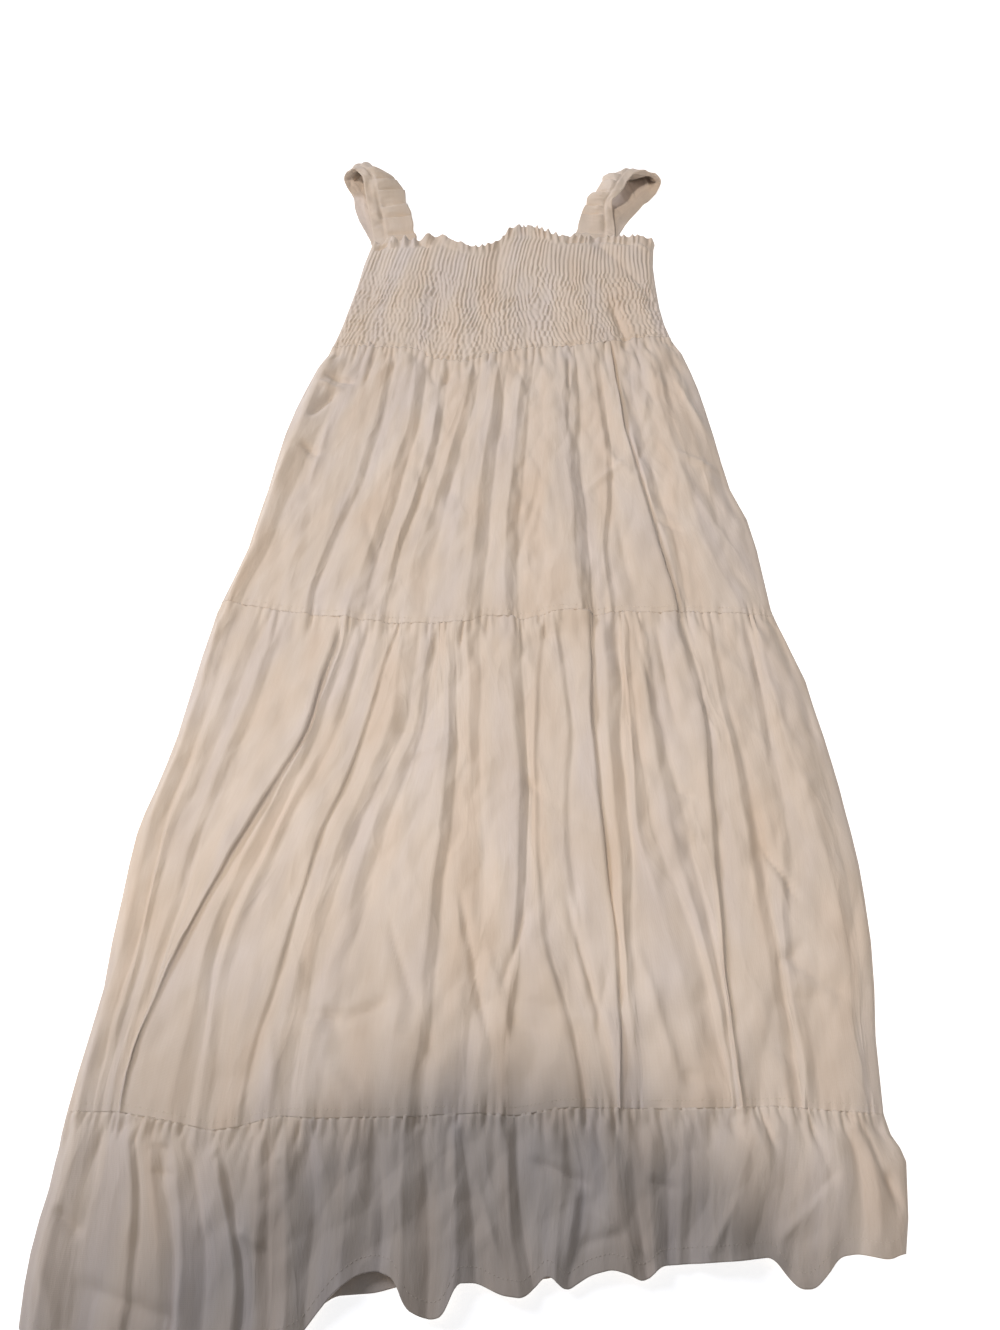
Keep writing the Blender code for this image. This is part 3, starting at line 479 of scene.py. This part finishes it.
def lay_out(panel, columns, rows, near):
    """x and y of the panel's points. Its columns follow the crests and valleys of its folds, and a `near` below 1
    draws its rows together at the top."""
    index = np.arange(columns + 1)
    share = index / columns
    line_share = None
    if panel.folds:
        lines = fold_lines(panel, np.array(panel.heights, float))
        mean = ((lines - lines[0]) / (lines[-1] - lines[0])).mean(axis=1)
        marks = np.round(mean * columns).astype(int)
        for k in range(1, len(marks)):
            marks[k] = max(marks[k], marks[k - 1] + 2)
        marks[-1] = columns
        for k in range(len(marks) - 2, -1, -1):
            marks[k] = min(marks[k], marks[k + 1] - 2)
        line = np.clip(np.searchsorted(marks, index, "right") - 1, 0, len(marks) - 2)
        line_share = (index - marks[line]) / (marks[line + 1] - marks[line])
    xs, ys = [], []
    steps = np.linspace(0, 1, rows + 1)
    downs = near * steps + (1 - near) * steps ** 2
    length = curve(panel.top, 0.0) - curve(panel.bottom, 0.0)
    downs[1], downs[-2] = EDGE_ROW / length, 1 - EDGE_ROW / length
    for down in downs:
        x = side(curve(panel.top, 0.0), False) + 400 * share
        for _ in range(6):
            top, bottom = curve(panel.top, x), curve(panel.bottom, x)
            y = top + (bottom - top) * down
            if line_share is None:
                x = side(y, False) + (side(y, True) - side(y, False)) * share
            else:
                lines = fold_lines(panel, y)
                x = lines[line, index] + (lines[line + 1, index] - lines[line, index]) * line_share
        xs.append(x)
        ys.append(y)
    return np.array(xs), np.array(ys)


def roll_sides(x, y, z):
    """Adds columns that turn each side under, down to the layer below."""
    left_x, left_z, right_x, right_z = x[:, 0], z[:, 0], x[:, -1], z[:, -1]
    for turn in (45, 90, 135, 175):
        out, down = ROLL * math.sin(math.radians(turn)), ROLL * (1 - math.cos(math.radians(turn)))
        x = np.column_stack([left_x - out, x, right_x + out])
        y = np.column_stack([y[:, 0], y, y[:, -1]])
        z = np.column_stack([left_z - down, z, right_z - down])
    return x, y, z


def deselect():
    """Nothing stays selected, so that the next operator acts on its own mesh alone."""
    if bpy.context.object and bpy.context.object.mode != "OBJECT":
        bpy.ops.object.mode_set(mode="OBJECT")
    bpy.ops.object.select_all(action="DESELECT")


def sheet(name, x, y, z, thickness, finish, thick_rows=None):
    """A grid laid through the points, given in plan millimetres, and thickened downwards into cloth."""
    rows, columns = x.shape
    deselect()
    bpy.ops.mesh.primitive_grid_add(x_subdivisions=columns - 1, y_subdivisions=rows - 1, size=1)
    item = bpy.context.object
    item.name = item.data.name = name
    points = np.stack([x + PLAN[0], y + PLAN[1], z], axis=-1)[::-1].reshape(-1, 3) * MM
    item.data.vertices.foreach_set("co", points.astype(np.float32).ravel())
    # The cloth's own map, in metres along and across it.
    run = np.hypot(np.hypot(np.diff(x, axis=0), np.diff(y, axis=0)), np.diff(z, axis=0)).mean(axis=1)
    rise = np.hypot(np.diff(x, axis=1), np.diff(z, axis=1))
    v = np.concatenate([[0], np.cumsum(run)])[:, None] + 0 * x
    u = np.concatenate([[0], np.cumsum(rise.mean(axis=0))])[None, :] + 0 * x
    flat = np.stack([u, -v], axis=-1)[::-1].reshape(-1, 2) * MM
    loops = np.empty(len(item.data.loops), np.int32)
    item.data.loops.foreach_get("vertex_index", loops)
    layer = item.data.uv_layers.active
    layer.name = "cloth"
    layer.data.foreach_set("uv", flat[loops].astype(np.float32).ravel())
    solid = item.modifiers.new("Cloth thickness", "SOLIDIFY")
    solid.thickness = thickness * MM
    solid.offset = -1
    if thick_rows is not None:
        group = item.vertex_groups.new(name="turned hem")
        weights = np.repeat(thick_rows[::-1], columns)
        for level in np.unique(weights.round(2)):
            group.add([int(n) for n in np.nonzero(weights.round(2) == level)[0]], float(level), "REPLACE")
        solid.vertex_group = group.name
        solid.thickness_vertex_group = 0.45
    bpy.ops.object.modifier_apply(modifier=solid.name)
    item.vertex_groups.clear()
    bpy.ops.object.shade_smooth()
    item.data.materials.clear()
    item.data.materials.append(finish)
    bpy.ops.object.select_all(action="DESELECT")
    return item


# ---- finishes -------------------------------------------------------------------------------------------------


def linear(colour):
    """An sRGB hex colour as linear red, green, blue and alpha."""
    parts = [int(colour.lstrip("#")[n:n + 2], 16) / 255 for n in (0, 2, 4)]
    return (*[c / 12.92 if c <= 0.04045 else ((c + 0.055) / 1.055) ** 2.4 for c in parts], 1.0)


def node(tree, kind, settings=None, **links):
    """Adds a shader node with its settings, and feeds its sockets: a value, or an output of another node."""
    added = tree.nodes.new("ShaderNode" + kind)
    for key, value in (settings or {}).items():
        setattr(added, key, value)
    for key, value in links.items():
        socket = added.inputs[int(key[1:])] if key[0] == "_" else added.inputs[key.replace("_", " ")]
        if isinstance(value, bpy.types.NodeSocket):
            tree.links.new(value, socket)
        else:
            socket.default_value = value
    return added


def new_material(name):
    """A material with its node tree and its shader."""
    material = bpy.data.materials.new(name)
    material.use_nodes = True
    return material, material.node_tree, material.node_tree.nodes["Principled BSDF"]


def cotton(name, crinkle_mm, crinkle_height, weave_height, crease_height=0.9):
    """Woven cotton, washed and unpressed: a matt yarn surface with slubs, fine crinkles and a faint pile.
    The eye gets a soft bloom at grazing angles, an even weave close up, and patches slightly warmer than others.
    The heights are in millimetres."""
    colours = bpy.context.scene.dress_cloth
    material, tree, shader = new_material(name)
    cloth = node(tree, "UVMap", {"uv_map": "cloth"}).outputs["UV"]
    place = node(tree, "TexCoord").outputs["Object"]
    patches = node(tree, "TexNoise", Vector=place, Scale=9.0, Detail=3.0, Roughness=0.55)
    slubs = node(tree, "Mapping", Vector=cloth, Scale=(520.0, 46.0, 1.0))
    slub = node(tree, "TexNoise", Vector=slubs.outputs[0], Scale=1.0, Detail=1.0)
    mixed = node(tree, "Math", {"operation": "MULTIPLY"}, _0=slub.outputs[0], _1=0.35)
    tone = node(tree, "Math", {"operation": "MULTIPLY_ADD"}, _0=patches.outputs[0], _1=1.3,
                _2=mixed.outputs[0])
    share = node(tree, "MapRange", Value=tone.outputs[0], From_Min=0.45, From_Max=1.25)
    colour = node(tree, "Mix", {"data_type": "RGBA"}, _0=share.outputs[0], _6=linear(colours.light),
                  _7=linear(colours.shade))
    # Undyed cotton isn't even: some folds look pinkish and some cool, 20 to 60 mm wide and longer along the dress.
    streaks = node(tree, "Mapping", Vector=cloth, Scale=(24.0, 5.0, 1.0))
    streak = node(tree, "TexNoise", Vector=streaks.outputs[0], Scale=1.0, Detail=2.0, Roughness=0.5)
    tints = node(tree, "ValToRGB", Fac=streak.outputs[0])
    warm, cool = tints.color_ramp.elements
    warm.position, warm.color = 0.34, linear("#FFF9F3")
    cool.position, cool.color = 0.66, linear("#FAFAFE")
    tints.color_ramp.elements.new(0.5).color = linear("#FFFDFB")
    tinted = node(tree, "Mix", {"data_type": "RGBA", "blend_type": "MULTIPLY"}, _0=1.0,
                  _6=colour.outputs[2], _7=tints.outputs[0])
    tree.links.new(tinted.outputs[2], shader.inputs["Base Color"])
    rough = node(tree, "MapRange", Value=slub.outputs[0], To_Min=0.82, To_Max=0.97)
    tree.links.new(rough.outputs[0], shader.inputs["Roughness"])
    # Real yarns lie 0.4 mm apart. They are drawn 1.1 mm apart, the finest that shows.
    yarns = 2 * math.pi / 20 / 0.0011
    warp, weft = (node(tree, "TexWave", {"bands_direction": way}, Vector=cloth, Scale=yarns, Distortion=0.6)
                  for way in "XY")
    weave = node(tree, "Math", {"operation": "MULTIPLY"}, _0=warp.outputs[1], _1=weft.outputs[1])
    weave_bump = node(tree, "Bump", Strength=0.5, Distance=weave_height * MM, Height=weave.outputs[0])
    grain = node(tree, "Mapping", Vector=cloth,
                 Scale=(1000 / crinkle_mm, 1000 / (crinkle_mm * 4.5), 1.0))
    wrinkles = node(tree, "TexNoise", Vector=grain.outputs[0], Scale=1.0, Detail=3.0, Roughness=0.6)
    crinkle = node(tree, "Bump", Strength=0.6, Distance=crinkle_height * MM, Height=wrinkles.outputs[0],
                   Normal=weave_bump.outputs[0])
    # Sharp creases left by folding and packing, 15 to 40 mm apart and longer along the dress.
    turned = node(tree, "Mapping", Vector=cloth, Rotation=(0.0, 0.0, 0.12), Scale=(36.0, 13.0, 1.0))
    creased = node(tree, "TexNoise", {"noise_type": "RIDGED_MULTIFRACTAL"}, Vector=turned.outputs[0],
                   Scale=1.0, Detail=2.0, Roughness=0.45, Lacunarity=2.1, Offset=0.9, Gain=1.4, Distortion=0.4)
    crease = node(tree, "Bump", Strength=0.7, Distance=crease_height * MM, Height=creased.outputs[0],
                  Normal=crinkle.outputs[0])
    tree.links.new(crease.outputs[0], shader.inputs["Normal"])
    shader.inputs["Sheen Weight"].default_value = 0.25
    shader.inputs["Sheen Roughness"].default_value = 0.5
    shader.inputs["Specular IOR Level"].default_value = 0.2
    return material


def thread(colour):
    """Spun polyester sewing thread: slightly brighter and smoother than the cloth, so that stitches catch light."""
    material, tree, shader = new_material("Spun polyester thread")
    place = node(tree, "TexCoord").outputs["Object"]
    twist = node(tree, "TexNoise", Vector=place, Scale=900.0, Detail=1.0)
    rough = node(tree, "MapRange", Value=twist.outputs[0], To_Min=0.5, To_Max=0.7)
    tree.links.new(rough.outputs[0], shader.inputs["Roughness"])
    dark = tuple(c * 0.9 for c in linear(colour)[:3]) + (1.0,)
    tint = node(tree, "Mix", {"data_type": "RGBA"}, _0=twist.outputs[0], _6=linear(colour), _7=dark)
    tree.links.new(tint.outputs[2], shader.inputs["Base Color"])
    shader.inputs["Sheen Weight"].default_value = 0.1
    return material


# ---- settings -------------------------------------------------------------------------------------------------


class DressCloth(bpy.types.PropertyGroup):
    light: StringProperty(name="Cotton", description="Colour of the undyed cotton, as sRGB hex", default="#DFD5CA")
    shade: StringProperty(name="Cotton, warmer", description="Colour of its warmer patches", default="#D3C5B5")
    thread: StringProperty(name="Thread", description="Colour of the sewing thread", default="#E6DACA")


class DressSmocking(bpy.types.PropertyGroup):
    ribs: IntProperty(name="Ribs", description="Smocked ribs across the bodice", default=70)
    rib_height: FloatProperty(name="Rib height", description="How far ribs stand out", default=0.0019, unit="LENGTH")
    rows: IntProperty(name="Shirring rows", description="Rows of elastic thread", default=13)


class DressStage(bpy.types.PropertyGroup):
    height: FloatProperty(name="Camera height", description="Height above the surface", default=0.9, unit="LENGTH")
    tilt: FloatProperty(name="Camera tilt", description="From straight down", default=math.radians(28),
                        subtype="ANGLE")
    lens: FloatProperty(name="Lens", description="Focal length on a 36 mm sensor", default=27.07)
    overhead: FloatProperty(name="Overhead light", description="Power of the main light", default=38.0, unit="POWER")
    window: FloatProperty(name="Window light", description="Power of the low light", default=187.0, unit="POWER")
    fill: FloatProperty(name="Fill light", description="Strength of the light from all round", default=0.19)
    floor: StringProperty(name="Floor", description="Colour of the floor", default="#F4F4F4")


# ---- pieces ---------------------------------------------------------------------------------------------------


def place_piece(item, node_name):
    """Hangs a sheet on the root body and hides the solid that it stands for."""
    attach(item, "root")
    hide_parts(node_name)


def ribs(x, y, smocking):
    """Height of the smocking over the bodice: ribs that puff out between shirring rows and waver at each."""
    top, bottom = curve(NECK, x) - HEADING, curve(WAIST, x)
    down = np.clip((top - y) / (top - bottom), -0.2, 1)
    row = down * smocking.rows
    across_ribs = across(x, y) * smocking.ribs
    low = smooth(down + 0.12 * ripple(x / 40, row / 3, 15), 0.22, 0.55)
    # In the lower half each pair of rows sets the ribs anew, so that they look like short slanted dashes.
    dash = 1.6 * row + 0.35 * ripple(across_ribs / 6, row / 4, 19)
    course, part = np.floor(dash), dash - np.floor(dash)
    jump = 0.5 * (course % 2) + 0.55 * ripple(across_ribs / 3.1, course * 1.37 + 0.5, 11)
    jump += 0.6 * (part - 0.5) * ripple(x / 14, course * 0.61, 16)
    phase = across_ribs + 0.5 * ripple(across_ribs / 5, row / 6, 12) + 0.14 * ripple(across_ribs / 1.7, row / 3, 14)
    wave = (0.5 + 0.5 * np.cos(2 * np.pi * (phase + low * jump))) ** 0.85
    pinch = 1 - low * np.exp(-((np.abs(part - 0.5) - 0.5) / 0.13) ** 2)
    uneven = 0.62 + 0.3 * low + (0.3 + 0.45 * low) * ripple(across_ribs * 0.9, row * 1.2, 13)
    body = smooth(down + 0.012 * ripple(x / 5, 0 * x, 18), -0.01, 0.03)
    flat_zone = 1 - 0.5 * np.exp(-((x + 114 - 0.03 * (y - 1000)) / 13) ** 2)
    height = smocking.rib_height / MM * wave * (0.3 + 0.7 * pinch) * uneven * (0.3 + 0.7 * body) * flat_zone
    return height * inside(x, y, 5) * (0.3 + 0.7 * smooth(y - curve(WAIST, x), 0, 5))


def frill(x, y):
    """Height of the loose heading above the first shirring row: wide flutes at the left, narrow ones elsewhere."""
    up = np.clip(1 - (curve(NECK, x) - y) / HEADING, 0, 1)
    wide = 1 - smooth(x, -70, -30)
    flute = x / 17 + 0.55 * ripple(x / 34, y / 60, 21) + (1 - wide) * (x / 19 + 0.5 * ripple(x / 9, y / 30, 24))
    wave = (0.5 - 0.5 * np.cos(2 * np.pi * flute)) ** 1.3
    tall = (5.2 + 3.4 * wide) * (0.75 + 0.5 * ripple(x / 17, y / 30, 22))
    return tall * up ** 0.7 * wave * (up > 0) * inside(x, y, 5)


class DRESS_OT_bodice(bpy.types.Operator):
    """Lays the smocked bodice, front and back"""

    bl_idname = "dress.bodice"
    bl_label = "Bodice"

    def execute(self, context):
        smocking = context.scene.dress_smocking
        finish = cotton("Smocked cotton", 3.2, 0.5, 0.10, 0.0)
        x, y = lay_out(BODICE, 500, 94, near=1.0)
        top = curve(NECK, x)
        lift = smooth(HEADING - (top - y), 0, HEADING)
        y = y + lift * 2.2 * ripple(x / 7, 0 * x + 0.5, 23) * inside(x, y, 8)
        flat = x.ravel(), y.ravel()
        z = front_height(BODICE, *flat) + ribs(*flat, smocking) + frill(*flat)
        x, y, z = roll_sides(x, y, z.reshape(x.shape))
        front = sheet("bodice_front_cloth", x, y, z, CLOTH, finish)
        sewn = topstitch(front, WAIST, WAIST_STITCH)
        place_piece(front, "bodice_front")
        lowered = BODICE._replace(top=[Point(p.x, p.y - 2) for p in NECK])
        x, y = lay_out(lowered, 300, 60, near=1.0)
        z = back_height(x, y, 41, ribbed=smocking)
        back = sheet("bodice_back_cloth", x, y, z, BACK_CLOTH, finish)
        place_piece(back, "bodice_back")
        return {"FINISHED"}


def back_height(x, y, seed, ribbed=None):
    """Outer face of the layer underneath: shallow folds that stay under the front layer."""
    edge = inside(x, y, 7)
    u = across(x, y) * CLOTH_WIDTH
    folds = np.abs(ripple(u / 38, y / 420, seed)) * 0.55 + 0.25 * ripple(u / 9, y / 60, seed + 1)
    z = 0.62 + folds.clip(-0.1, 0.7) * edge
    if ribbed:
        wave = 0.5 - 0.5 * np.cos(2 * np.pi * (across(x, y) * ribbed.ribs + 0.3 * ripple(u / 12, y / 15, seed + 2)))
        z = 0.60 + 0.6 * wave * edge
    return z


def stitches(name, ends):
    """One stitch, modelled once and copied between each pair of points."""
    starts, stops = (np.array(points) for points in zip(*ends))
    deselect()
    bpy.ops.mesh.primitive_ico_sphere_add(subdivisions=1, radius=1)
    item = bpy.context.object
    item.name = item.data.name = name
    # Real thread is 0.3 mm thick. It is drawn 0.5 mm thick, the finest that shows.
    bpy.ops.transform.resize(value=(0.5, 0.00025, 0.00025))
    bpy.ops.object.transform_apply(location=False, rotation=False, scale=True)
    rows = item.modifiers.new("Copies", "ARRAY")
    rows.count = len(ends)
    rows.use_relative_offset = False
    bpy.ops.object.modifier_apply(modifier=rows.name)
    points = np.empty(len(item.data.vertices) * 3, np.float32)
    item.data.vertices.foreach_get("co", points)
    points = points.reshape(len(ends), -1, 3)
    along = (stops - starts)[:, None]
    aside = np.cross(along, (0, 0, 1))
    aside /= np.linalg.norm(aside, axis=2)[..., None]
    middle = (starts + stops)[:, None] / 2 + np.array([0, 0, 0.0001])
    points = middle + along * points[..., :1] + aside * points[..., 1:2] + np.array([0, 0, 1]) * points[..., 2:]
    item.data.vertices.foreach_set("co", points.astype(np.float32).ravel())
    item.data.update()
    bpy.ops.object.shade_smooth()
    item.data.materials.append(thread(bpy.context.scene.dress_cloth.thread))
    bpy.ops.object.select_all(action="DESELECT")
    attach(item, "root")
    return item


def topstitch(item, seam, above):
    """A row of stitches on a sheet, above a seam or hem. It dips where the cloth does."""
    ends = []
    place = side(seam[0].y, False) + 6
    while place < side(seam[-1].y, True) - 8:
        pair = []
        for x in (place, place + STITCH):
            top = Vector(((x + PLAN[0]) * MM, (float(curve(seam, x)) + above + PLAN[1]) * MM, 0.1))
            found, spot, _, _ = item.ray_cast(top, Vector((0, 0, -1)))
            if found:
                pair.append(spot)
        if len(pair) == 2:
            ends.append(pair)
        place += STITCH_STEP
    return stitches(item.name.replace("cloth", "stitching"), ends)


def lay_tier(panel, name, finish, columns, rows, back_panel, seed):
    """The front and back panels of a tier, named after it."""
    hem = panel is FLOUNCE
    x, y = lay_out(panel, columns, rows, near=0.55)
    points = x.ravel(), y.ravel()
    z = front_height(panel, *points).reshape(x.shape)
    x = x + fold_lap(panel, *points).reshape(x.shape)
    # The gathered edge lies under the edge of the panel above.
    y[0] += TUCK
    z[0] -= TUCK_DROP
    thick = 1 - smooth((y - y[-1]).mean(axis=1), HEM_FOLD - 1, HEM_FOLD + 1.5) if hem else None
    x, y, z = roll_sides(x, y, z)
    front = sheet(name + "_front_cloth", x, y, z, HEM_CLOTH if hem else CLOTH, finish, thick)
    sewn = topstitch(front, panel.bottom, HEM_FOLD - 2 if hem else SEAM_STITCH)
    place_piece(front, name + "_front")
    x, y = lay_out(back_panel._replace(folds=[]), columns // 2, rows // 2, near=1.0)
    back = sheet(name + "_back_cloth", x, y, back_height(x, y, seed), BACK_CLOTH, finish)
    place_piece(back, name + "_back")


class DRESS_OT_upper_tier(bpy.types.Operator):
    """Lays the upper tier, gathered under the bodice"""

    bl_idname = "dress.upper_tier"
    bl_label = "Upper tier"

    def execute(self, context):
        finish = cotton("Plain cotton, upper tier", 7.0, 0.7, 0.08)
        lay_tier(UPPER_TIER, "upper_tier", finish, 340, 104, UPPER_TIER, 61)
        return {"FINISHED"}


class DRESS_OT_middle_tier(bpy.types.Operator):
    """Lays the middle tier, gathered under the upper one"""

    bl_idname = "dress.middle_tier"
    bl_label = "Middle tier"

    def execute(self, context):
        finish = cotton("Plain cotton, middle tier", 7.0, 0.7, 0.08)
        lay_tier(MIDDLE_TIER, "middle_tier", finish, 400, 116, MIDDLE_TIER, 71)
        return {"FINISHED"}


class DRESS_OT_flounce(bpy.types.Operator):
    """Lays the hem flounce, its lower edge turned and stitched"""

    bl_idname = "dress.flounce"
    bl_label = "Hem flounce"

    def execute(self, context):
        finish = cotton("Plain cotton, flounce", 6.0, 0.9, 0.08)
        lay_tier(FLOUNCE, "hem_flounce", finish, 420, 62, FLOUNCE._replace(bottom=BACK_HEM), 81)
        return {"FINISHED"}


def spline(rows, steps):
    """Even steps along smooth curves through each column of the rows."""
    values = np.array(rows, float)
    ends = np.vstack([2 * values[0] - values[1], values, 2 * values[-1] - values[-2]])
    found = []
    for t in np.linspace(0, len(values) - 1, steps + 1):
        k = min(int(t), len(values) - 2)
        s = t - k
        a, b, c, d = ends[k:k + 4]
        squared, cubed = (2 * a - 5 * b + 4 * c - d) * s ** 2, (3 * b - a - 3 * c + d) * s ** 3
        found.append(0.5 * (2 * b + (c - a) * s + squared + cubed))
    return np.array(found)


def strap_points(sections, seed, steps=250):
    """Points of a strap's outer face: a plain band, then a ruffle pleated across, along its run."""
    rows = spline(sections, steps)
    plain, ruffled = rows[:, :3], rows[:, 3:]
    middle = (plain + ruffled) / 2
    along = np.gradient(middle, axis=0)
    along /= np.linalg.norm(along, axis=1)[:, None]
    run = np.concatenate([[0], np.cumsum(np.linalg.norm(np.diff(middle, axis=0), axis=1))])
    width_way = ruffled - plain
    out = np.cross(width_way, along)
    out /= np.linalg.norm(out, axis=1)[:, None] * (1 if plain[0, 0] < ruffled[0, 0] else -1)
    share, at = np.meshgrid(np.linspace(0, 1, 29), run)
    # The seam between band and ruffle lies in a groove, and pleats of uneven width fan out from it.
    beyond = smooth(share, STRAP_BAND, STRAP_BAND + 0.25)
    slant = at + 5 * share * ripple(at / 25, 0 * at, seed) - 9 * (share - 0.6) ** 2
    pleat = slant / 19 + 0.45 * ripple(slant / 21, 0 * at, seed + 1)
    saw = pleat - np.floor(pleat)
    fold = np.where(saw < 0.84, np.sin(saw / 0.84 * np.pi / 2), (1 - saw) / 0.16) - 0.5
    small = slant / 6.5 + 0.8 * ripple(slant / 9, share * 2, seed + 2)
    lift = beyond * (5.2 * fold * (1.15 - 0.5 * share) + 0.5 * np.sin(2 * np.pi * small) * (1.1 - share))
    lift -= beyond * 2.6 * np.exp(-((saw - 0.93) / 0.06) ** 2)
    lift += (1 - beyond) * (1.5 * ripple(at / 12, share * 6, seed + 3) + 0.8 * ripple(at / 5, share * 9, seed + 4))
    lift -= 1.6 * np.exp(-((share - STRAP_BAND) / 0.04) ** 2)
    lift += 1.6 * ripple(at / 17, share * 2.5, seed + 5)
    ends = smooth(at, 0, 8) * smooth(run[-1] - at, 0, 8)
    flat_run = smooth(middle[:, 2], 1.5, 7)[:, None]
    wave = 0.03 * beyond * np.sin(2 * np.pi * pleat / 1.7) * share
    points = plain[:, None] + width_way[:, None] * (share + wave)[..., None]
    lift = lift * (0.5 + 0.5 * flat_run) + 6 * np.sin(np.pi * share) * smooth(middle[:, 2], 15, 26)[:, None]
    points += out[:, None] * (lift * ends)[..., None]
    points[..., 2] = np.maximum(points[..., 2], 0.75)
    return points, run


class DRESS_OT_straps(bpy.types.Operator):
    """Lays both shoulder straps with their ruffles"""

    bl_idname = "dress.straps"
    bl_label = "Straps"

    def execute(self, context):
        finish = cotton("Crinkled cotton, straps", 3.6, 0.7, 0.10, 0.4)
        for name, sections, seed in (("strap_left", LEFT_STRAP, 91), ("strap_right", RIGHT_STRAP, 96)):
            points, run = strap_points(sections, seed)
            mirrored = sections[0].plain_x > sections[0].ruffled_x
            points = points[::-1, ::-1] if mirrored else points[::-1]
            x, y, z = np.moveaxis(points, -1, 0)
            item = sheet(name + "_cloth", x, y, z + 0.35, STRAP_CLOTH, finish)
            # The stitches follow the groove between the band and the ruffle.
            edge = (points[:, -9 if mirrored else 8] + np.array([*PLAN, 0.75])) * MM
            sewn = stitches(name + "_stitching", list(zip(edge[4:-5:2], edge[5:-4:2])))
            place_piece(item, name)
        return {"FINISHED"}


class DRESS_OT_stage(bpy.types.Operator):
    """Sets the floor, the lights and the camera"""

    bl_idname = "dress.stage"
    bl_label = "Stage"

    def execute(self, context):
        settings = context.scene.dress_stage
        deselect()
        bpy.ops.mesh.primitive_plane_add(size=8)
        floor = context.object
        floor.name = "floor"
        paint, _, shader = new_material("Matt white paint")
        shader.inputs["Base Color"].default_value = linear(settings.floor)
        shader.inputs["Roughness"].default_value = 0.9
        shader.inputs["Emission Color"].default_value = (1, 1, 1, 1)
        shader.inputs["Emission Strength"].default_value = 0.75
        floor.data.materials.append(paint)
        world = context.scene.world = bpy.data.worlds.new("Studio")
        world.use_nodes = True
        colour, strength = world.node_tree.nodes["Background"].inputs[:2]
        colour.default_value, strength.default_value = linear("#F2F3FA"), settings.fill
        for name, place, size, power, tint in (
            ("overhead", (-0.66, -0.6, 2.4), 0.28, settings.overhead, "#FFF3E6"),
            ("window", (-4.75, 3.25, 3.75), 2.25, settings.window, "#EEF1FF"),
        ):
            bpy.ops.object.light_add(type="AREA", location=place)
            light = context.object
            light.name = name
            light.data.shape, light.data.size = "DISK", size
            light.data.energy = power
            light.data.color = linear(tint)[:3]
            light.rotation_euler = Vector(place).to_track_quat("Z", "Y").to_euler()
        # Two round cards between the light and the hem, where the photographer's shadow falls: a low one for its dark
        # middle and a high one for the soft fall of light around it. They cast shadows, and no camera sees them.
        for place, radius, stretch in (((-0.175, -0.662, 0.7), 0.15, 1.35), ((-0.44, -0.722, 1.5), 0.139, 2.2)):
            deselect()
            bpy.ops.mesh.primitive_circle_add(vertices=48, radius=radius, fill_type="NGON", location=place,
                                              rotation=(0, 0, math.radians(-7)))
            card = context.object
            card.name = "shadow_card"
            card.scale.x = stretch
            card.data.materials.append(paint)
            card.visible_camera = card.visible_diffuse = card.visible_glossy = False
        bpy.ops.object.camera_add(location=(PLAN[0] * MM, PLAN[1] * MM, settings.height),
                                  rotation=(settings.tilt, 0, 0))
        camera = context.object
        camera.data.lens = settings.lens
        camera.data.sensor_width = 36
        context.scene.camera = camera
        context.scene.view_settings.view_transform = "Standard"
        return {"FINISHED"}


class DRESS_PT_panel(bpy.types.Panel):
    """Lists the dress's pieces and their settings"""

    bl_label = "Smocked maxi dress"
    bl_idname = "DRESS_PT_panel"
    bl_space_type = "VIEW_3D"
    bl_region_type = "UI"
    bl_category = "Dress"

    def draw(self, context):
        for group in ("dress_cloth", "dress_smocking", "dress_stage"):
            box = self.layout.box()
            settings = getattr(context.scene, group)
            for name in settings.bl_rna.properties.keys():
                if name not in ("rna_type", "name"):
                    box.prop(settings, name)
        for operator in PIECES:
            self.layout.operator(operator.bl_idname)


PIECES = (
    DRESS_OT_bodice, DRESS_OT_upper_tier, DRESS_OT_middle_tier, DRESS_OT_flounce, DRESS_OT_straps, DRESS_OT_stage,
)
GROUPS = (("dress_cloth", DressCloth), ("dress_smocking", DressSmocking), ("dress_stage", DressStage))
CLASSES = tuple(group for _, group in GROUPS) + PIECES + (DRESS_PT_panel,)


def register():
    for item in CLASSES:
        bpy.utils.register_class(item)
    for name, group in GROUPS:
        setattr(bpy.types.Scene, name, PointerProperty(type=group))


def unregister():
    for name, _ in GROUPS:
        delattr(bpy.types.Scene, name)
    for item in reversed(CLASSES):
        bpy.utils.unregister_class(item)


def main():
    register()
    bpy.ops.dress.stage()
    bpy.ops.dress.bodice()
    bpy.ops.dress.upper_tier()
    bpy.ops.dress.middle_tier()
    bpy.ops.dress.flounce()
    bpy.ops.dress.straps()


if __name__ == "__main__":
    main()
